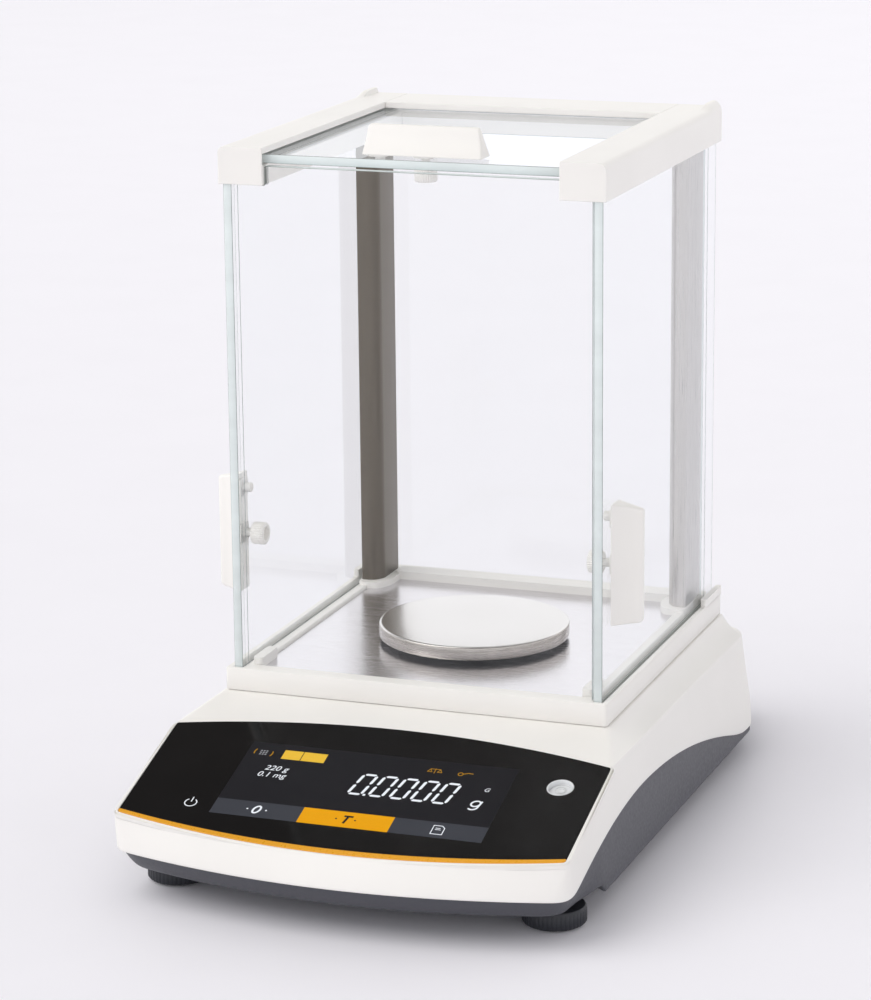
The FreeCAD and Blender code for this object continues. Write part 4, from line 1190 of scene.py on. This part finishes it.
def ink(name, material, lines=(), shapes=(), low=INK, high=2 * INK):
    """Raised print on the glass: lines as (points, width, closed) and filled outlines."""
    bm = bmesh.new()
    for points, width, closed in lines:
        ribbon(bm, points, width, low, high, closed)
    for points in shapes:
        prism(bm, points, low, high)
    thing = from_bmesh(name, bm, [material], SLOPE, smooth=False)
    return finish_piece(thing, root)


def print_text(name, text, x, run, size):
    """A short number or unit in plain type, as thin raised print."""
    curve = bpy.data.curves.new(name, "FONT")
    curve.body = text
    curve.size = size
    curve.shear = LEAN
    curve.align_x = "CENTER"
    curve.align_y = "CENTER"
    curve.extrude = INK / 2
    curve.resolution_u = 4
    mesh = curve_mesh(curve)
    mesh.transform(Matrix.Scale(MM, 4) @ SLOPE @ Matrix.Translation((x, run, INK * 1.5)))
    finish_piece(add_object(name, mesh, ["digit_white"], smooth=False), root)


def zero_digit(x, run, wide, tall, stroke):
    """The six segments of a lit zero, as slanted bars with pointed ends."""
    gap = stroke * 0.32
    half = stroke / 2

    def bar(x0, y0, x1, y1):
        way = Vector((x1 - x0, y1 - y0)).normalized()
        side = Vector((-way.y, way.x)) * half
        a, b = Vector((x0, y0)) + way * gap, Vector((x1, y1)) - way * gap
        points = [a, a + way * half + side, b - way * half + side, b,
                  b - way * half - side, a + way * half - side]
        return [(x + p.x + LEAN * p.y, run + p.y) for p in points]

    middle = tall / 2
    return [bar(0, 0, wide, 0), bar(0, tall, wide, tall), bar(0, 0, 0, middle), bar(0, middle, 0, tall),
            bar(wide, 0, wide, middle), bar(wide, middle, wide, tall)]


def letter_g(x, run, size):
    """A single-storey g as two strokes."""
    bowl = circle(0, 0, size, 20)
    hook = [(size, size), (size, -1.3 * size)]
    hook += [(size * math.cos(a), size * (0.9 * math.sin(a) - 1.3))
             for a in [-math.pi * k / 10 for k in range(1, 9)]]
    slanted = [[(x + a + LEAN * b, run + b) for a, b in line] for line in (bowl, hook)]
    return [(slanted[0], 0.42 * size, True), (slanted[1], 0.42 * size, False)]


def screen_print():
    left, right, low, high = SCREEN
    ink("lcd_area", "screen", shapes=[box_points(left, right, KEYS_TOP, high)], low=0, high=INK)
    keys = (("zero_key", "key_grey", left, -KEY_SPLIT), ("tare_key", "key_amber", -KEY_SPLIT, KEY_SPLIT),
            ("note_key", "key_grey", KEY_SPLIT, right))
    for name, material, start, end in keys:
        ink(name, material, shapes=[box_points(start, end, low, KEYS_TOP)], low=0, high=INK)

    digits = []
    first, pitch, base = -6.0, 9.7, 28.3
    for n in range(5):
        digits += zero_digit(first + pitch * n, base, 6.2, 14.6, 1.35)
    digits.append([(first + 7.7 + x, base + y) for x, y in box_points(-0.6, 0.6, -0.7, 0.6)])
    ink("reading_digits", "digit_white", shapes=digits)
    ink("reading_unit", "digit_white", lines=letter_g(52.6, 30.6, 2.0))
    print_text("reading_mode", "G", 54.2, 41.0, 3.6)
    print_text("capacity_value", "220 g", -44.0, 40.2, 5.0)
    print_text("readability_value", "0.1 mg", -44.6, 35.2, 5.0)
    middle = (low + KEYS_TOP) / 2
    x = (left - KEY_SPLIT) / 2
    oval = [(x + 1.5 * math.cos(a) + 0.5 * math.sin(a), middle + 2.5 * math.sin(a))
            for a in [math.pi * k / 12 for k in range(24)]]
    ink("zero_symbol", "digit_white", lines=[(oval, 0.95, True)])
    tee = [([(-1.3, middle + 2.3), (2.9, middle + 2.3)], 1.1, False),
           ([(0.7, middle + 2.4), (-0.3, middle - 2.8)], 1.1, False)]
    ink("tare_symbol", "screen", lines=tee)
    for name, material, key_middle in (("zero_dots", "digit_white", x), ("tare_dots", "screen", 0)):
        spots = (key_middle - 4.4, key_middle + 4.4)
        ink(name, material, shapes=[circle(spot, middle, 0.45, 12) for spot in spots])

    x, y = (KEY_SPLIT + right) / 2, middle
    sheet = [(x - 2.6, y - 3), (x + 2.6, y - 3), (x + 2.6, y + 1.6), (x + 1.2, y + 3), (x - 2.6, y + 3)]
    rules = [([(x - 1.4, y + k), (x + end, y + k)], 0.35, False) for k, end in ((1.2, 0.8), (0.2, 1.2))]
    ink("note_symbol", "digit_white", lines=[(sheet, 0.4, True)] + rules)

    x, y = -72.8, 9.4
    arc = [(x + 2.7 * math.sin(a), y + 2.7 * math.cos(a))
           for a in [math.radians(35 + 290 * k / 24) for k in range(25)]]
    bar = [(x, y + 0.6), (x, y + 4)]
    power = ink("power_symbol", "digit_white", lines=[(arc, 0.5, False), (bar, 0.5, False)],
                low=0, high=INK)

    x, y = -54.4, 51.0
    grid = [box_points(x + i * 1.3 - 0.4, x + i * 1.3 + 0.4, y + j * 1.3 - 0.4, y + j * 1.3 + 0.4)
            for i in (-1, 0, 1) for j in (-1, 0, 1)]
    ink("menu_symbol", "icon_grey", shapes=grid)
    arcs = []
    for start in (150, 330):
        turns = [math.radians(start + 8 * k) for k in range(7)]
        arcs.append(([(x + 4.3 * math.cos(a), y + 4.3 * math.sin(a)) for a in turns], 0.45, False))
    ink("menu_arcs", "icon_amber", lines=arcs)
    badge = [box_points(-45, -36.1, 47.8, 54.4), box_points(-35.7, -24.6, 47.8, 54.4)]
    ink("status_badge", "badge_amber", shapes=badge)

    x, y = 27.0, 50.7
    beam = [([(x - 2.4, y + 1.5), (x + 2.4, y + 1.5)], 0.3, False),
            ([(x, y - 1.6), (x, y + 2)], 0.3, False)]
    for side in (-2.3, 2.3):
        pan = [(x + side - 1, y - 0.6), (x + side, y + 1.4), (x + side + 1, y - 0.6)]
        beam.append((pan, 0.28, True))
    ink("balance_symbol", "icon_amber", lines=beam)
    x, y = 41.6, 51.0
    key = [(circle(x - 2.6, y - 0.5, 1.1, 12), 0.35, True),
           ([(x - 1.5, y - 0.3), (x + 0.8, y + 0.7), (x + 3, y + 0.5)], 0.4, False)]
    ink("link_symbol", "icon_amber", lines=key)


# ---------------------------------------------------------------- pieces carried over from the CAD
CARRIED = {
    "white": ["level_cup"],
    "cast_aluminium": ["pan_support", "chassis_plate", "cell_frame", "cell_carrier", "cell_lever"],
    "machine_steel": ["plinth_screws", "casing_screws", "frame_screws", "cell_pin", "magnet_cup",
                      "front_left_stud", "front_right_stud", "usb_socket", "serial_socket",
                      "calibration_weights", "weight_lifter", "board_posts", "lift_motor"],
    "spring_metal": ["upper_flexure", "lower_flexure"],
    "copper": ["force_coil"],
    "brass": ["foot_bushes"],
    "rubber": ["front_left_pad", "front_right_pad", "chassis_mounts", "rear_feet"],
    "board": ["main_board", "display_board"],
    "chip": ["board_components", "position_sensor", "power_socket", "display_module"],
}


def carry_over():
    for material, names in CARRIED.items():
        for name in names:
            thing = frame["nodes"][name]
            thing.data.materials.clear()
            thing.data.materials.append(MATERIALS[material])
            weld = thing.modifiers.new("weld", "WELD")
            weld.merge_threshold = 0.002 * MM
            soften(thing, 0.3)


# ---------------------------------------------------------------- stage
def stage():
    scene = bpy.context.scene
    scene.view_settings.view_transform = "Standard"
    world = bpy.data.worlds.new("studio")
    world.use_nodes = True
    nodes, links = world.node_tree.nodes, world.node_tree.links
    place = nodes.new("ShaderNodeTexCoord")
    parts = nodes.new("ShaderNodeSeparateXYZ")
    ramp = nodes.new("ShaderNodeValToRGB")
    links.new(place.outputs["Generated"], parts.inputs["Vector"])
    links.new(parts.outputs["Z"], ramp.inputs["Fac"])
    links.new(ramp.outputs["Color"], nodes["Background"].inputs["Color"])
    # bright walls round the table and a dim ceiling, which the sloping display mirrors
    ramp.color_ramp.elements[0].position = 0.42
    ramp.color_ramp.elements[0].color = linear(250, 249, 251)
    ramp.color_ramp.elements[1].position = 0.66
    ramp.color_ramp.elements[1].color = linear(140, 139, 138)
    nodes["Background"].inputs["Strength"].default_value = 1.27
    scene.world = world

    mesh = bpy.data.meshes.new("floor")
    reach = 6.0
    corners = [(-reach, -reach, 0), (reach, -reach, 0), (reach, reach, 0), (-reach, reach, 0)]
    mesh.from_pydata(corners, [], [(0, 1, 2, 3)])
    floor = bpy.data.objects.new("floor", mesh)
    scene.collection.objects.link(floor)
    floor.data.materials.append(moulded("floor_paper", (247, 246, 252), 0.7, 300, 0.05, 0.006))

    def softbox(name, place, aim, size, power):
        light = bpy.data.lights.new(name, "AREA")
        light.shape = "RECTANGLE"
        light.size, light.size_y = size
        light.energy = power
        lamp = bpy.data.objects.new(name, light)
        scene.collection.objects.link(lamp)
        lamp.location = place
        lamp.rotation_mode = "QUATERNION"
        lamp.rotation_quaternion = (Vector(aim) - Vector(place)).to_track_quat("-Z", "Y")
        return lamp

    softbox("back", (0.4, 3.2, 3.0), (0, 1.6, 0), (3.0, 3.0), 16)
    sun = bpy.data.lights.new("key", "SUN")
    sun.energy = 1.25
    sun.angle = math.radians(55)
    sun.color = (1.0, 0.985, 0.96)
    key = bpy.data.objects.new("key", sun)
    scene.collection.objects.link(key)
    key.rotation_mode = "QUATERNION"
    key.rotation_quaternion = Vector((0.52, 0.35, -0.85)).to_track_quat("-Z", "Y")

    camera = bpy.data.cameras.new("camera")
    camera.lens = 125.04
    camera.sensor_width = 36
    camera.clip_start = 0.05
    camera.clip_end = 50
    viewer = bpy.data.objects.new("camera", camera)
    scene.collection.objects.link(viewer)
    turn, rise, roll = math.radians(19.97), math.radians(14.34), math.radians(-0.57)
    back = Vector((math.sin(turn) * math.cos(rise), -math.cos(turn) * math.cos(rise), math.sin(rise)))
    side = (-back).cross(Vector((0, 0, 1))).normalized()
    above = side.cross(-back)
    right = side * math.cos(roll) + above * math.sin(roll)
    up = above * math.cos(roll) - side * math.sin(roll)
    place = Vector((0.5222, -1.4696, 0.5484))
    viewer.matrix_world = standing(right, up, back, place)
    scene.camera = viewer


upper_casing()
lower_casing()
display()
panes()
rails()
rear_bridge()
plinth()
posts()
for door_name in HANDLE_AXES:
    handle(door_name)
    thumb_screw(door_name)
weighing_pan()
feet()
level_window()
screen_print()
carry_over()
stage()
